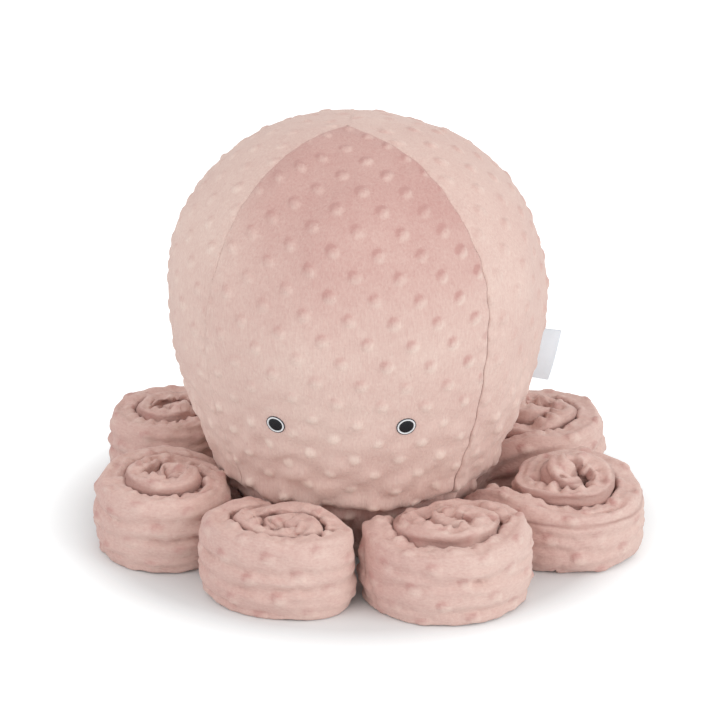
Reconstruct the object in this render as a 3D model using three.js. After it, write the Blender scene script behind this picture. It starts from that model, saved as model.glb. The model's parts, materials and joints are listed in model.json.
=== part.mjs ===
// A plush octopus: a stuffed head sewn from panels of dimpled plush, and eight stuffed legs
// that lie on the floor around it, each rolled up on edge into a flat coil.
// Millimetres, +Z up. The face looks towards -Y. The origin is on the floor, under the head.

import * as THREE from 'three';

const DEG = Math.PI / 180;
const TURN = 2 * Math.PI;

// Head: an egg that leans a little towards the face.
const headRadius = 152;
const headHeight = 350;
const widestHeight = 205;
const seamRadius = 86.5;
const seamHeight = 16;
const headLean = 20;
const faceTurn = -4.5 * DEG;
const crownPower = 2.1;
const jowlPower = 1.9;
const crownHoleRadius = 3;

// The panels' meeting point lies off the top, to one side and towards the face; the power says
// how near to it the cloth is drawn along.
const crownAside = -6.8;
const crownForward = 15.5;
const crownPull = 14;

// Cloth, seams and the room left between pieces that touch.
const clothThickness = 2.4;
const seamGap = 0.3;
const seamDip = 1.2;
const fillGap = 0.4;

// Head panels, each between two angles round the head from the middle of the face.
const headPanels = [
  { name: 'face_panel', from: -46.5 * DEG, to: 46.5 * DEG, columns: 9 },
  { name: 'right_side_panel', from: 46.5 * DEG, to: 108.5 * DEG, columns: 6 },
  { name: 'right_back_panel', from: 108.5 * DEG, to: 180 * DEG, columns: 7 },
  { name: 'left_back_panel', from: 180 * DEG, to: 251.5 * DEG, columns: 7 },
  { name: 'left_side_panel', from: 251.5 * DEG, to: 313.5 * DEG, columns: 6 },
];
const jowlRows = 6;
const crownRows = 8;

// Round base panel that closes the head underneath.
const baseFlatRadius = 82;
const baseEdgeRadius = 85;
const baseEdgeHeight = 4;
const baseSides = 36;

// Embroidered eyes.
const leftEyeTurn = -21.3 * DEG;
const rightEyeTurn = 20.3 * DEG;
const leftEyeHeight = 138;
const rightEyeHeight = 140.4;
const pupilDiameter = 11.6;
const whiteDiameter = 14.4;
const outlineDiameter = 16;
const threadGap = 0.25;
const pupilThickness = 1.5;
const whiteThickness = 1.2;
const outlineThickness = 0.9;
const eyeSteps = 20;

// Folded cloth label in the seam behind the right side panel.
const labelTurn = 108.5 * DEG;
const labelMiddle = 133;
const labelLength = 43;
const labelReach = 27;
const labelThickness = 1.5;
const labelFoldGap = 0.5;
const labelStandoff = 0.6;
const labelSteps = 4;

// A leg is a stuffed band that stands on its edge and is wound inwards, without touching itself.
const coilDiameter = 124;
const legHeight = 64;
const tipHeight = 58;
const legThickness = 24.5;
const tipThickness = 16;
const wrapGap = 1.3;
const woundAngle = 795 * DEG;
const flatShare = 0.3;
const stepsPerTurn = 24;

// Where a leg leaves the head it is flat and wide, and then it turns up on its edge.
const rootWidth = 44;
const rootHeight = 14.6;
const rootClearance = 0.4;
const rootOffset = 14;
const rootJoin = -37 * DEG;
const rootSteps = 6;
const headClearance = 2;

// Stuffing in each leg.
const legWall = 3.4;
const legEdgeWall = 4;

// Each coil's middle lies at an angle from straight ahead (right is positive) and at a share of
// the coil reach. Its width and depth are shares of the coil diameter, as it was squeezed.
const coilReach = 170;
const legShares = [
  { name: 'front_left', angle: -22 * DEG, reachShare: 0.959, widthShare: 1.04, depthShare: 0.7 },
  { name: 'front_right', angle: 25.4 * DEG, reachShare: 0.965, widthShare: 1.08, depthShare: 0.975 },
  { name: 'right', angle: 70.7 * DEG, reachShare: 1.07, widthShare: 0.96, depthShare: 0.95 },
  { name: 'back_right', angle: 114 * DEG, reachShare: 0.975, widthShare: 0.91, depthShare: 0.87 },
  { name: 'rear_right', angle: 158 * DEG, reachShare: 1.005, widthShare: 0.935, depthShare: 0.905 },
  { name: 'rear_left', angle: 202 * DEG, reachShare: 1.005, widthShare: 0.905, depthShare: 0.905 },
  { name: 'back_left', angle: 242.5 * DEG, reachShare: 1.01, widthShare: 0.775, depthShare: 0.84 },
  { name: 'left', angle: 290.7 * DEG, reachShare: 0.95, widthShare: 0.96, depthShare: 0.935 },
];

const finishes = {
  plush: { color: 0xd3aaa3, roughness: 0.95 },
  stuffing: { color: 0xf2efea, roughness: 1 },
  blackThread: { color: 0x15151a, roughness: 0.35 },
  whiteThread: { color: 0xf4f2f2, roughness: 0.45 },
  outlineThread: { color: 0x5c5f73, roughness: 0.45 },
  labelTape: { color: 0xf3f4f6, roughness: 0.7 },
};

const lerp = THREE.MathUtils.lerp;

// Closed solids are gathered as points and triangles in one of these.
class Solid {
  constructor() {
    this.points = [];
    this.faces = [];
  }
  point(v) {
    return this.points.push(v.x, v.y, v.z) / 3 - 1;
  }
  quad(a, b, c, d) {
    this.faces.push(a, b, c, a, c, d);
  }
  // Joins two rings of equal length, the second further along; the ring's ends meet. A hollow's
  // band faces inwards, and is split along the same diagonals.
  band(lower, upper, hollow = false) {
    const count = lower.length;
    for (let i = 0; i < count; i += 1) {
      const j = (i + 1) % count;
      if (hollow) this.quad(lower[i], upper[i], upper[j], lower[j]);
      else this.quad(lower[i], lower[j], upper[j], upper[i]);
    }
  }
  // Closes a ring with triangles from its first point.
  cap(ring, flipped) {
    for (let i = 1; i + 1 < ring.length; i += 1) {
      if (flipped) this.faces.push(ring[0], ring[i + 1], ring[i]);
      else this.faces.push(ring[0], ring[i], ring[i + 1]);
    }
  }
  geometry() {
    const shape = new THREE.BufferGeometry();
    shape.setAttribute('position', new THREE.Float32BufferAttribute(this.points, 3));
    shape.setIndex(this.faces);
    shape.computeVertexNormals();
    return shape;
  }
}

const group = new THREE.Group();

function addMesh(name, shape, finish) {
  const mesh = new THREE.Mesh(shape, new THREE.MeshStandardMaterial({ ...finish, metalness: 0 }));
  mesh.name = name;
  group.add(mesh);
}

// The head's radius at a height below its widest ring.
function jowlRadius(z) {
  const share = THREE.MathUtils.clamp((widestHeight - z) / (widestHeight - seamHeight), 0, 1);
  return headRadius - (headRadius - seamRadius) * share ** jowlPower;
}

// The height at which the head's underside has a given radius.
function undersideHeight(radius) {
  const share = THREE.MathUtils.clamp((headRadius - radius) / (headRadius - seamRadius), 0, 1);
  return widestHeight - (widestHeight - seamHeight) * share ** (1 / jowlPower);
}

// A row of the head: its radius and height, and the outward direction there.
function makeRow(r, z, outward, upward) {
  const length = Math.hypot(outward, upward);
  return { r, z, nr: outward / length, nz: upward / length };
}

function jowlRow(z) {
  const fall = widestHeight - seamHeight;
  const share = (widestHeight - z) / fall;
  const slope = (jowlPower * (headRadius - seamRadius) * share ** (jowlPower - 1)) / fall;
  return makeRow(jowlRadius(z), z, 1, -slope);
}

function crownRow(angle) {
  const rise = headHeight - widestHeight;
  const z = widestHeight + rise * Math.sin(angle) ** (2 / crownPower);
  const upward = Math.sin(angle) ** (2 - 2 / crownPower) * headRadius * (crownPower / 2);
  return makeRow(headRadius * Math.cos(angle), z, Math.cos(angle) * rise, upward);
}

// Rows of the head from the base seam up to the crown.
function headRows() {
  const rows = [];
  for (let i = 0; i < jowlRows; i += 1) {
    rows.push(jowlRow(lerp(seamHeight, widestHeight, i / jowlRows)));
  }
  const last = Math.acos(crownHoleRadius / headRadius);
  for (let i = 0; i <= crownRows; i += 1) rows.push(crownRow((last * i) / crownRows));
  return rows;
}

// A point of the head: angle from straight ahead, and how far outside the cloth it lies.
function headPoint(row, angle, outside) {
  const r = row.r + row.nr * outside;
  const z = row.z + row.nz * outside;
  const lean = headLean * (row.z / headHeight) ** 2;
  const rise = (row.z - widestHeight) / (headHeight - widestHeight);
  const pull = Math.max(rise, 0) ** crownPull;
  const x = r * Math.sin(angle) + crownAside * pull;
  return new THREE.Vector3(x, -r * Math.cos(angle) - lean - crownForward * pull, z);
}

// The angles of a panel's columns, drawn in by half the seam gap at a given radius.
function panelAngle(panel, column, radius) {
  const margin = seamGap / 2 / radius;
  const from = faceTurn + panel.from + margin;
  const to = faceTurn + panel.to - margin;
  return lerp(from, to, column / panel.columns);
}

// How far a seam is drawn in, least where the panels narrow towards the crown.
function seamDrop(row) {
  return (-seamDip * row.r) / headRadius;
}

function headPanel(panel) {
  const solid = new Solid();
  const rows = headRows();
  const rings = rows.map((row) => {
    const outer = [];
    const inner = [];
    for (let c = 0; c <= panel.columns; c += 1) {
      const dip = c === 0 || c === panel.columns ? seamDrop(row) : 0;
      const angle = panelAngle(panel, c, row.r);
      outer.push(solid.point(headPoint(row, angle, dip)));
      inner.push(solid.point(headPoint(row, angle, dip - clothThickness)));
    }
    return outer.concat(inner.reverse());
  });
  for (let i = 0; i + 1 < rings.length; i += 1) solid.band(rings[i], rings[i + 1]);
  closeStrip(solid, rings[0], panel.columns, true);
  closeStrip(solid, rings[rings.length - 1], panel.columns, false);
  return solid.geometry();
}

// Closes the narrow end face between a panel's outer and inner edge.
function closeStrip(solid, ring, columns, flipped) {
  for (let c = 0; c < columns; c += 1) {
    const a = ring[c];
    const b = ring[c + 1];
    const other = ring.length - 1 - c;
    if (flipped) solid.quad(a, ring[other], ring[other - 1], b);
    else solid.quad(a, b, ring[other - 1], ring[other]);
  }
}

// The head's stuffing follows the panels' inner faces and the base panel's.
function headFilling() {
  const solid = new Solid();
  const inset = -(clothThickness + fillGap);
  const ringAt = (make) => {
    const ring = [];
    for (const panel of headPanels) {
      for (let c = 0; c < panel.columns; c += 1) {
        const angle = faceTurn + lerp(panel.from, panel.to, c / panel.columns);
        ring.push(solid.point(make(angle, c === 0)));
      }
    }
    return ring;
  };
  const baseTop = clothThickness + fillGap;
  const flat = { r: baseFlatRadius - baseTop, z: baseTop, nr: 0, nz: 0 };
  const edge = { r: baseEdgeRadius - baseTop - seamDip, z: baseEdgeHeight + baseTop, nr: 0, nz: 0 };
  const rings = [flat, edge].map((row) => ringAt((angle) => headPoint(row, angle, 0)));
  const rows = headRows();
  for (const row of rows) {
    rings.push(ringAt((angle, atSeam) => headPoint(row, angle, inset + (atSeam ? seamDrop(row) : 0))));
  }
  for (let i = 0; i + 1 < rings.length; i += 1) solid.band(rings[i], rings[i + 1]);
  const top = rows[rows.length - 1];
  const middle = (row) => solid.point(headPoint({ ...row, r: 0, nr: 0 }, 0, 0));
  closeFan(solid, rings[0], middle(flat), true);
  closeFan(solid, rings[rings.length - 1], middle({ ...top, z: top.z + inset }), false);
  return solid.geometry();
}

function closeFan(solid, ring, centre, flipped) {
  for (let i = 0; i < ring.length; i += 1) {
    const j = (i + 1) % ring.length;
    if (flipped) solid.faces.push(centre, ring[j], ring[i]);
    else solid.faces.push(centre, ring[i], ring[j]);
  }
}

// Base panel: a shallow dish whose rim meets the head panels at the seam.
function basePanel() {
  const rim = seamHeight - seamGap;
  const outline = [
    new THREE.Vector2(0, 0),
    new THREE.Vector2(baseFlatRadius, 0),
    new THREE.Vector2(baseEdgeRadius, baseEdgeHeight),
    new THREE.Vector2(seamRadius, rim),
    new THREE.Vector2(seamRadius - clothThickness, rim),
    new THREE.Vector2(baseEdgeRadius - clothThickness, baseEdgeHeight + clothThickness / 2),
    new THREE.Vector2(baseFlatRadius - clothThickness, clothThickness),
    new THREE.Vector2(0, clothThickness),
  ];
  const shape = new THREE.LatheGeometry(outline, baseSides);
  shape.rotateX(Math.PI / 2);
  return shape;
}

// A ring or disc of stitching that follows the head round an eye's middle.
function stitchedRound(eyeTurn, eyeHeight, innerRadius, outerRadius, thickness) {
  const solid = new Solid();
  const middle = jowlRow(eyeHeight);
  const at = (radius, turn, height) => {
    const row = jowlRow(eyeHeight + radius * Math.sin(turn) * middle.nr);
    const angle = faceTurn + eyeTurn + (radius * Math.cos(turn)) / middle.r;
    return solid.point(headPoint(row, angle, seamGap + height));
  };
  const rings = [];
  const corners = [[outerRadius, 0], [outerRadius, thickness]];
  if (innerRadius > 0) corners.push([innerRadius, thickness], [innerRadius, 0]);
  for (const [radius, height] of corners) {
    const ring = [];
    for (let i = 0; i < eyeSteps; i += 1) ring.push(at(radius, (TURN * i) / eyeSteps, height));
    rings.push(ring);
  }
  if (innerRadius > 0) {
    for (let i = 0; i < rings.length; i += 1) solid.band(rings[i], rings[(i + 1) % rings.length]);
  } else {
    solid.band(rings[0], rings[1]);
    closeFan(solid, rings[0], at(0, 0, 0), true);
    closeFan(solid, rings[1], at(0, 0, thickness), false);
  }
  return solid.geometry();
}

// Folded label: a flat loop of tape, open towards the seam that holds its two edges.
function seamLabel() {
  const solid = new Solid();
  const half = labelThickness / 2;
  const slot = labelFoldGap / 2;
  const wall = half - slot;
  const profile = [
    [0, -half], [labelReach, -half], [labelReach, half], [0, half],
    [0, slot], [labelReach - wall, slot], [labelReach - wall, -slot], [0, -slot],
  ];
  const angle = faceTurn + labelTurn;
  const across = new THREE.Vector3(Math.cos(angle), Math.sin(angle), 0);
  const out = new THREE.Vector3(Math.sin(angle), -Math.cos(angle), 0);
  const sections = [];
  for (let i = 0; i <= labelSteps; i += 1) {
    const row = jowlRow(labelMiddle + labelLength * (i / labelSteps - 1 / 2));
    const root = headPoint(row, angle, labelStandoff - seamDip);
    sections.push(profile.map(([reach, side]) => {
      const place = root.clone().addScaledVector(out, reach).addScaledVector(across, side);
      return solid.point(place);
    }));
  }
  for (let i = 0; i + 1 < sections.length; i += 1) solid.band(sections[i], sections[i + 1]);
  capLabel(solid, sections[0], true);
  capLabel(solid, sections[labelSteps], false);
  return solid.geometry();
}

// The end of the folded tape: two walls and the fold that joins them.
function capLabel(solid, s, flipped) {
  for (const corners of [[0, 1, 6, 7], [1, 2, 5, 6], [2, 3, 4, 5]]) {
    solid.cap(corners.map((i) => s[i]), flipped);
  }
}

// Distance of the band's middle line from the coil's middle, after a given winding angle.
function windRadius(angle) {
  const start = (coilDiameter - legThickness) / 2 + (legThickness + wrapGap) / 4;
  const taper = (legThickness - tipThickness) / (2 * woundAngle);
  return start - ((legThickness + wrapGap) * angle - taper * angle * angle) / TURN;
}

// The wound middle line, in the leg's own plan: along is away from the head's middle, and side
// is square to it, towards the side that the leg is wound from. The coil is shifted by a quarter
// of a wrap, because the winding draws in from one side to the other.
function windPoint(leg, angle) {
  const radius = windRadius(angle);
  const shift = (legThickness + wrapGap) / 4;
  return {
    along: coilReach * leg.reachShare + radius * Math.sin(angle) * leg.depthShare,
    side: (radius * Math.cos(angle) - shift) * leg.widthShare,
  };
}

// Stations along a leg from its root to its tip: place, band width, height and thickness.
function legStations(leg) {
  const stations = [];
  const join = windPoint(leg, rootJoin);
  const next = windPoint(leg, rootJoin + DEG);
  const run = Math.hypot(join.along - seamRadius, join.side - rootOffset);
  const turnAlong = next.along - join.along;
  const turnSide = next.side - join.side;
  const turnLength = Math.hypot(turnAlong, turnSide);
  for (let i = 0; i < rootSteps; i += 1) {
    const t = i / rootSteps;
    const h1 = t * (1 - t) ** 2 * run;
    const h2 = t * t * (t - 1) * run;
    const ease = t * t * (3 - 2 * t);
    stations.push({
      along: lerp(seamRadius + rootClearance, join.along, ease) + h1 + (h2 * turnAlong) / turnLength,
      side: lerp(rootOffset, join.side, ease) + (h2 * turnSide) / turnLength,
      height: lerp(rootHeight, legHeight, ease),
      thickness: lerp(rootWidth, legThickness, ease),
    });
  }
  const count = Math.round(((woundAngle - rootJoin) / TURN) * stepsPerTurn);
  for (let i = 0; i <= count; i += 1) {
    const share = i / count;
    const angle = lerp(rootJoin, woundAngle, share);
    const place = windPoint(leg, angle);
    const wound = Math.max(angle, 0) / woundAngle;
    stations.push({
      ...place,
      height: lerp(legHeight, tipHeight, share),
      thickness: lerp(legThickness, tipThickness, wound),
    });
  }
  return stations;
}

// The band's sideways direction at each station, in the leg's plan. It is stretched with the
// coil, so that wraps keep their gap in a squeezed coil too.
function addNormals(leg, stations) {
  for (let i = 0; i < stations.length; i += 1) {
    const a = stations[Math.max(i - 1, 0)];
    const b = stations[Math.min(i + 1, stations.length - 1)];
    const along = i === 0 ? 1 : (b.along - a.along) / leg.depthShare;
    const side = i === 0 ? 0 : (b.side - a.side) / leg.widthShare;
    const length = Math.hypot(along, side);
    stations[i].normalAlong = (-side / length) * leg.depthShare;
    stations[i].normalSide = (along / length) * leg.widthShare;
  }
}

// A place on the section at a station: across is measured from the middle line.
function legPoint(leg, station, across, z) {
  const along = station.along + station.normalAlong * across;
  const side = station.side + station.normalSide * across;
  const out = { x: Math.sin(leg.angle), y: -Math.cos(leg.angle) };
  const x = along * out.x + side * out.y;
  const y = along * out.y - side * out.x;
  const under = undersideHeight(Math.hypot(x, y)) - headClearance;
  const pressed = Math.min(1, Math.max(under, rootHeight) / station.height);
  return new THREE.Vector3(x, y, z * pressed);
}

// Six points round the puffy band, the lower two on the floor.
function skinSection(leg, station) {
  const flat = station.thickness * flatShare;
  const wide = station.thickness / 2;
  const top = station.height;
  const left = [[-flat, 0], [-wide, top / 2], [-flat, top]];
  const right = [[flat, top], [wide, top / 2], [flat, 0]];
  return [...left, ...right].map(([across, z]) => legPoint(leg, station, across, z));
}

// Four points round the stuffing, or round the hollow that holds it, which is larger by a share.
function fillSection(leg, station, gap) {
  const wide = station.thickness / 2 - legWall;
  const tall = station.height / 2 - legEdgeWall;
  const grow = 1 + gap / Math.min(wide, tall);
  const middle = station.height / 2;
  const places = [[0, -tall], [-wide, 0], [0, tall], [wide, 0]];
  return places.map(([across, z]) => legPoint(leg, station, across * grow, middle + z * grow));
}

function legCover(leg, stations, hollow) {
  const solid = new Solid();
  const skin = stations.map((s) => skinSection(leg, s).map((v) => solid.point(v)));
  const inner = hollow.map((s) => fillSection(leg, s, fillGap).map((v) => solid.point(v)));
  for (let i = 0; i + 1 < skin.length; i += 1) solid.band(skin[i], skin[i + 1]);
  for (let i = 0; i + 1 < inner.length; i += 1) solid.band(inner[i], inner[i + 1], true);
  solid.cap(skin[skin.length - 1], false);
  solid.cap(inner[inner.length - 1], true);
  const [low, left, top, right] = inner[0];
  const s = skin[0];
  solid.quad(low, left, s[1], s[0]);
  solid.quad(left, top, s[2], s[1]);
  solid.quad(top, right, s[4], s[3]);
  solid.quad(right, low, s[5], s[4]);
  solid.faces.push(top, s[3], s[2], low, s[0], s[5]);
  return solid.geometry();
}

function legFilling(leg, hollow) {
  const solid = new Solid();
  const sections = hollow.map((s) => fillSection(leg, s, 0).map((v) => solid.point(v)));
  for (let i = 0; i + 1 < sections.length; i += 1) solid.band(sections[i], sections[i + 1]);
  solid.cap(sections[0], true);
  solid.cap(sections[sections.length - 1], false);
  return solid.geometry();
}

// The stations that the hollow uses: every second one, stopping short of the tip.
function hollowStations(stations) {
  return stations.filter((s, i) => i % 2 === 0 && i < stations.length - 2);
}

// The stuffing ends a gap before the hollow does.
function fillingStations(hollow) {
  const last = hollow[hollow.length - 1];
  const before = hollow[hollow.length - 2];
  const length = Math.hypot(last.along - before.along, last.side - before.side);
  const share = (length - fillGap) / length;
  const end = {};
  for (const key of Object.keys(last)) end[key] = lerp(before[key], last[key], share);
  return [...hollow.slice(0, -1), end];
}

// The least plan distance between the faces of neighbouring wraps of one leg.
function leastSelfGap(leg, stations) {
  const outside = stations.map((s) => legPoint(leg, s, s.thickness / 2, 0));
  const inside = stations.map((s) => legPoint(leg, s, -s.thickness / 2, 0));
  let least = Infinity;
  for (let i = 0; i < stations.length; i += 1) {
    for (let j = i + stepsPerTurn / 2; j < stations.length; j += 1) {
      least = Math.min(least, inside[i].distanceTo(outside[j]), outside[i].distanceTo(outside[j]));
    }
  }
  return least;
}

// One eye: a satin pupil, a white ring round it and a thin dark line round that.
function addEye(name, turn, height) {
  const whiteInside = pupilDiameter / 2 + threadGap;
  const outlineInside = whiteDiameter / 2 + threadGap;
  const outlineRadius = outlineDiameter / 2;
  const pupil = stitchedRound(turn, height, 0, pupilDiameter / 2, pupilThickness);
  const white = stitchedRound(turn, height, whiteInside, whiteDiameter / 2, whiteThickness);
  const outline = stitchedRound(turn, height, outlineInside, outlineRadius, outlineThickness);
  addMesh(`${name}_eye_pupil`, pupil, finishes.blackThread);
  addMesh(`${name}_eye_white`, white, finishes.whiteThread);
  addMesh(`${name}_eye_outline`, outline, finishes.outlineThread);
}

function addLeg(leg) {
  const stations = legStations(leg);
  addNormals(leg, stations);
  const hollow = hollowStations(stations);
  addMesh(`${leg.name}_leg_cover`, legCover(leg, stations, hollow), finishes.plush);
  addMesh(`${leg.name}_leg_stuffing`, legFilling(leg, fillingStations(hollow)), finishes.stuffing);
  console.log(`${leg.name} leg, least gap to itself: ${leastSelfGap(leg, stations).toFixed(2)} mm`);
}

for (const panel of headPanels) addMesh(panel.name, headPanel(panel), finishes.plush);
addMesh('base_panel', basePanel(), finishes.plush);
addMesh('head_stuffing', headFilling(), finishes.stuffing);
addEye('left', leftEyeTurn, leftEyeHeight);
addEye('right', rightEyeTurn, rightEyeHeight);
addMesh('seam_label', seamLabel(), finishes.labelTape);
for (const leg of legShares) addLeg(leg);

export default group;
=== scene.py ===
import json
import math

import bpy
import numpy as np
from bpy.props import FloatProperty, FloatVectorProperty, IntProperty, PointerProperty
from mathutils import Matrix, Vector

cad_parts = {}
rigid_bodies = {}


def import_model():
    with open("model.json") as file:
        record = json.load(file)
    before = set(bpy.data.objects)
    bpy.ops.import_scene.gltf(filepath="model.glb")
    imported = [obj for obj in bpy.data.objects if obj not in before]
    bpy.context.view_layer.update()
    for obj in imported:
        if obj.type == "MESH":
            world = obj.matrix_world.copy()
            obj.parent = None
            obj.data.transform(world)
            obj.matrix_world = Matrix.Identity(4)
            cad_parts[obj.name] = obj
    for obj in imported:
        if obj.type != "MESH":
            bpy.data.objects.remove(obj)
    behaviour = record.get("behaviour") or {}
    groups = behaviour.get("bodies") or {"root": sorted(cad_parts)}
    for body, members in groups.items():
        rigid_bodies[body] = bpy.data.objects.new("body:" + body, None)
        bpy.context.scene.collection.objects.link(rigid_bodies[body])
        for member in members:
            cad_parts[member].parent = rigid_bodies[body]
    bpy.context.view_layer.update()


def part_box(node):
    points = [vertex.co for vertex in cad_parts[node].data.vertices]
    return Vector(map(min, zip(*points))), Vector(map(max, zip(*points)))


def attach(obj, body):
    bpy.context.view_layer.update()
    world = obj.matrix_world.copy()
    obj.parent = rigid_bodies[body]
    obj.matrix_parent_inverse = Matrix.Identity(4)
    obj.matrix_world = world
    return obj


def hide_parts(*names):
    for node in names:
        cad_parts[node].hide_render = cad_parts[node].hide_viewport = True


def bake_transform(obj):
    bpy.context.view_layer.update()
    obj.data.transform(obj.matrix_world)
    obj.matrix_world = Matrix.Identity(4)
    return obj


bl_info = {
    "name": "Plush Octopus",
    "version": (1, 0, 0),
    "blender": (4, 5, 0),
    "location": "3D View > Sidebar > Octopus",
    "description": "Sews a stuffed octopus of dotted plush around its packed model",
    "category": "Add Mesh",
}

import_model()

TURN = 2 * math.pi

# Length of the cloth round a leg, over which its dots, creases and seam are laid out.
LEG_GIRTH = 0.185

# Each head panel: its low and high edge in degrees round the head from the middle of the face; how
# its dots lie (a shift along and up the cloth, and a turn in degrees) and how high they stand, as a
# share; how its nap is brushed; and how deeply the seams at its two edges are drawn in, as shares.
PANELS = {
    "face_panel": {
        "edges": (-46.5, 46.5), "shift": (0.0, 0.0), "turn": 5.0, "dots": 1.0,
        "nap": "face", "drawn": (0.05, 1.0)},
    "right_side_panel": {
        "edges": (46.5, 108.5), "shift": (0.011, 0.004), "turn": 4.0, "dots": 1.0,
        "nap": "side", "drawn": (1.0, 0.8)},
    "right_back_panel": {
        "edges": (108.5, 180.0), "shift": (0.004, 0.013), "turn": -3.0, "dots": 0.7,
        "nap": "side", "drawn": (0.8, 0.8)},
    "left_back_panel": {
        "edges": (180.0, 251.5), "shift": (0.016, 0.009), "turn": 3.0, "dots": 0.7,
        "nap": "side", "drawn": (0.8, 0.8)},
    "left_side_panel": {
        "edges": (251.5, 313.5), "shift": (0.007, 0.002), "turn": -4.0, "dots": 0.7,
        "nap": "side", "drawn": (0.8, 0.05)},
}

# Each leg: the angle of its coil in degrees from straight ahead; its reach as a share of the coils'
# reach; its width and depth as shares of the coil diameter; the height of its outermost wrap as a
# share; the seed of its folds; and where its lengthwise seam runs, at the root and at the tip, as
# shares of the way round the band from the bottom up the outer face. A coil that leans also has the
# shares by which its far side and its right side, seen from the head, lie lower.
LEG_SHARES = {
    "front_left": {
        "angle": -22.0, "reach": 0.959, "width": 1.04, "depth": 0.70, "height": 1.05,
        "seed": 3, "seam": (0.55, 0.60)},
    "front_right": {
        "angle": 25.4, "reach": 0.978, "width": 1.08, "depth": 0.975, "height": 0.98,
        "seed": 4, "seam": (0.62, 0.55)},
    "right": {
        "angle": 70.7, "reach": 1.07, "width": 0.96, "depth": 0.95, "height": 0.92,
        "seed": 25, "seam": (0.34, 0.44), "lean": (0.06, 0.055)},
    "back_right": {
        "angle": 114.0, "reach": 0.975, "width": 0.91, "depth": 0.87, "height": 1.0,
        "seed": 6, "seam": (0.60, 0.62)},
    "rear_right": {
        "angle": 158.0, "reach": 1.005, "width": 0.935, "depth": 0.905, "height": 1.0,
        "seed": 7, "seam": (0.34, 0.40)},
    "rear_left": {
        "angle": 202.0, "reach": 1.005, "width": 0.905, "depth": 0.905, "height": 1.02,
        "seed": 8, "seam": (0.58, 0.52)},
    "back_left": {
        "angle": 242.5, "reach": 1.01, "width": 0.775, "depth": 0.84, "height": 1.0,
        "seed": 9, "seam": (0.60, 0.56)},
    "left": {
        "angle": 290.7, "reach": 0.95, "width": 0.96, "depth": 0.935, "height": 0.98,
        "seed": 30, "seam": (0.56, 0.64)},
}

# Each nap: how far it is brushed away from the eye, and how strongly the painted shade and highlight round
# its dots, and their paler tops, show, as shares.
NAP_SHARES = {"face": (0.32, 0.60), "side": (0.32, 0.35), "leg": (0.64, 0.60)}

# The ripples of the cloth: how high they stand and how long one is, in metres, and what is added to
# the seed of the piece.
RIPPLES = {
    "seam_pucker": (0.0009, 0.006, 20),
    "stuffing_bump": (0.0012, 0.045, 40),
    "base_gather": (0.0016, 0.007, 60),
    "jowl_slack": (0.0013, 0.013, 80),
    "hem_stray": (0.0022, 0.012, 90),
    "leg_unevenness": (0.0003, 0.009, 70),
    "leg_flow": (0.0008, 0.0055, 110),
    "leg_pinch": (0.0012, 0.006, 130),
}


class OctopusHeadSettings(bpy.types.PropertyGroup):
    radius: FloatProperty(
        name="Radius", description="Radius of the head at its widest ring", default=0.152, unit="LENGTH")
    height: FloatProperty(
        name="Height", description="Height of the crown above the floor", default=0.350, unit="LENGTH")
    widest: FloatProperty(
        name="Widest height", description="Height of the widest ring", default=0.205, unit="LENGTH")
    seam_radius: FloatProperty(
        name="Base seam radius", description="Radius of the seam round the base panel", default=0.0865,
        unit="LENGTH")
    seam_height: FloatProperty(
        name="Base seam height", description="Height of the seam round the base panel", default=0.016,
        unit="LENGTH")
    lean: FloatProperty(
        name="Lean", description="How far the crown leans towards the face", default=0.020,
        unit="LENGTH")
    face_turn: FloatProperty(
        name="Face turn", description="Turn of the face from straight ahead", default=math.radians(-4.5),
        subtype="ANGLE")
    twist: FloatProperty(
        name="Twist", description="How far the stuffing turns the seams round at the head's shoulders",
        default=0.032, subtype="ANGLE")
    crown_power: FloatProperty(
        name="Crown fullness", description="2 is a round crown, more is a squarer one", default=2.1)
    jowl_power: FloatProperty(
        name="Jowl fullness", description="How full the head stays towards its base", default=1.9)
    crown_aside: FloatProperty(
        name="Crown aside", description="How far to the right the panels' meeting point lies",
        default=-0.0068, unit="LENGTH")
    crown_forward: FloatProperty(
        name="Crown forward", description="How far towards the face the panels' meeting point lies",
        default=0.0155, unit="LENGTH")
    crown_pull: FloatProperty(
        name="Crown pull", description="How near to the meeting point the cloth is drawn along",
        default=14.0)
    crown_radius: FloatProperty(
        name="Crown gap", description="Radius at which the panels' points meet", default=0.0012,
        unit="LENGTH")


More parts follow.
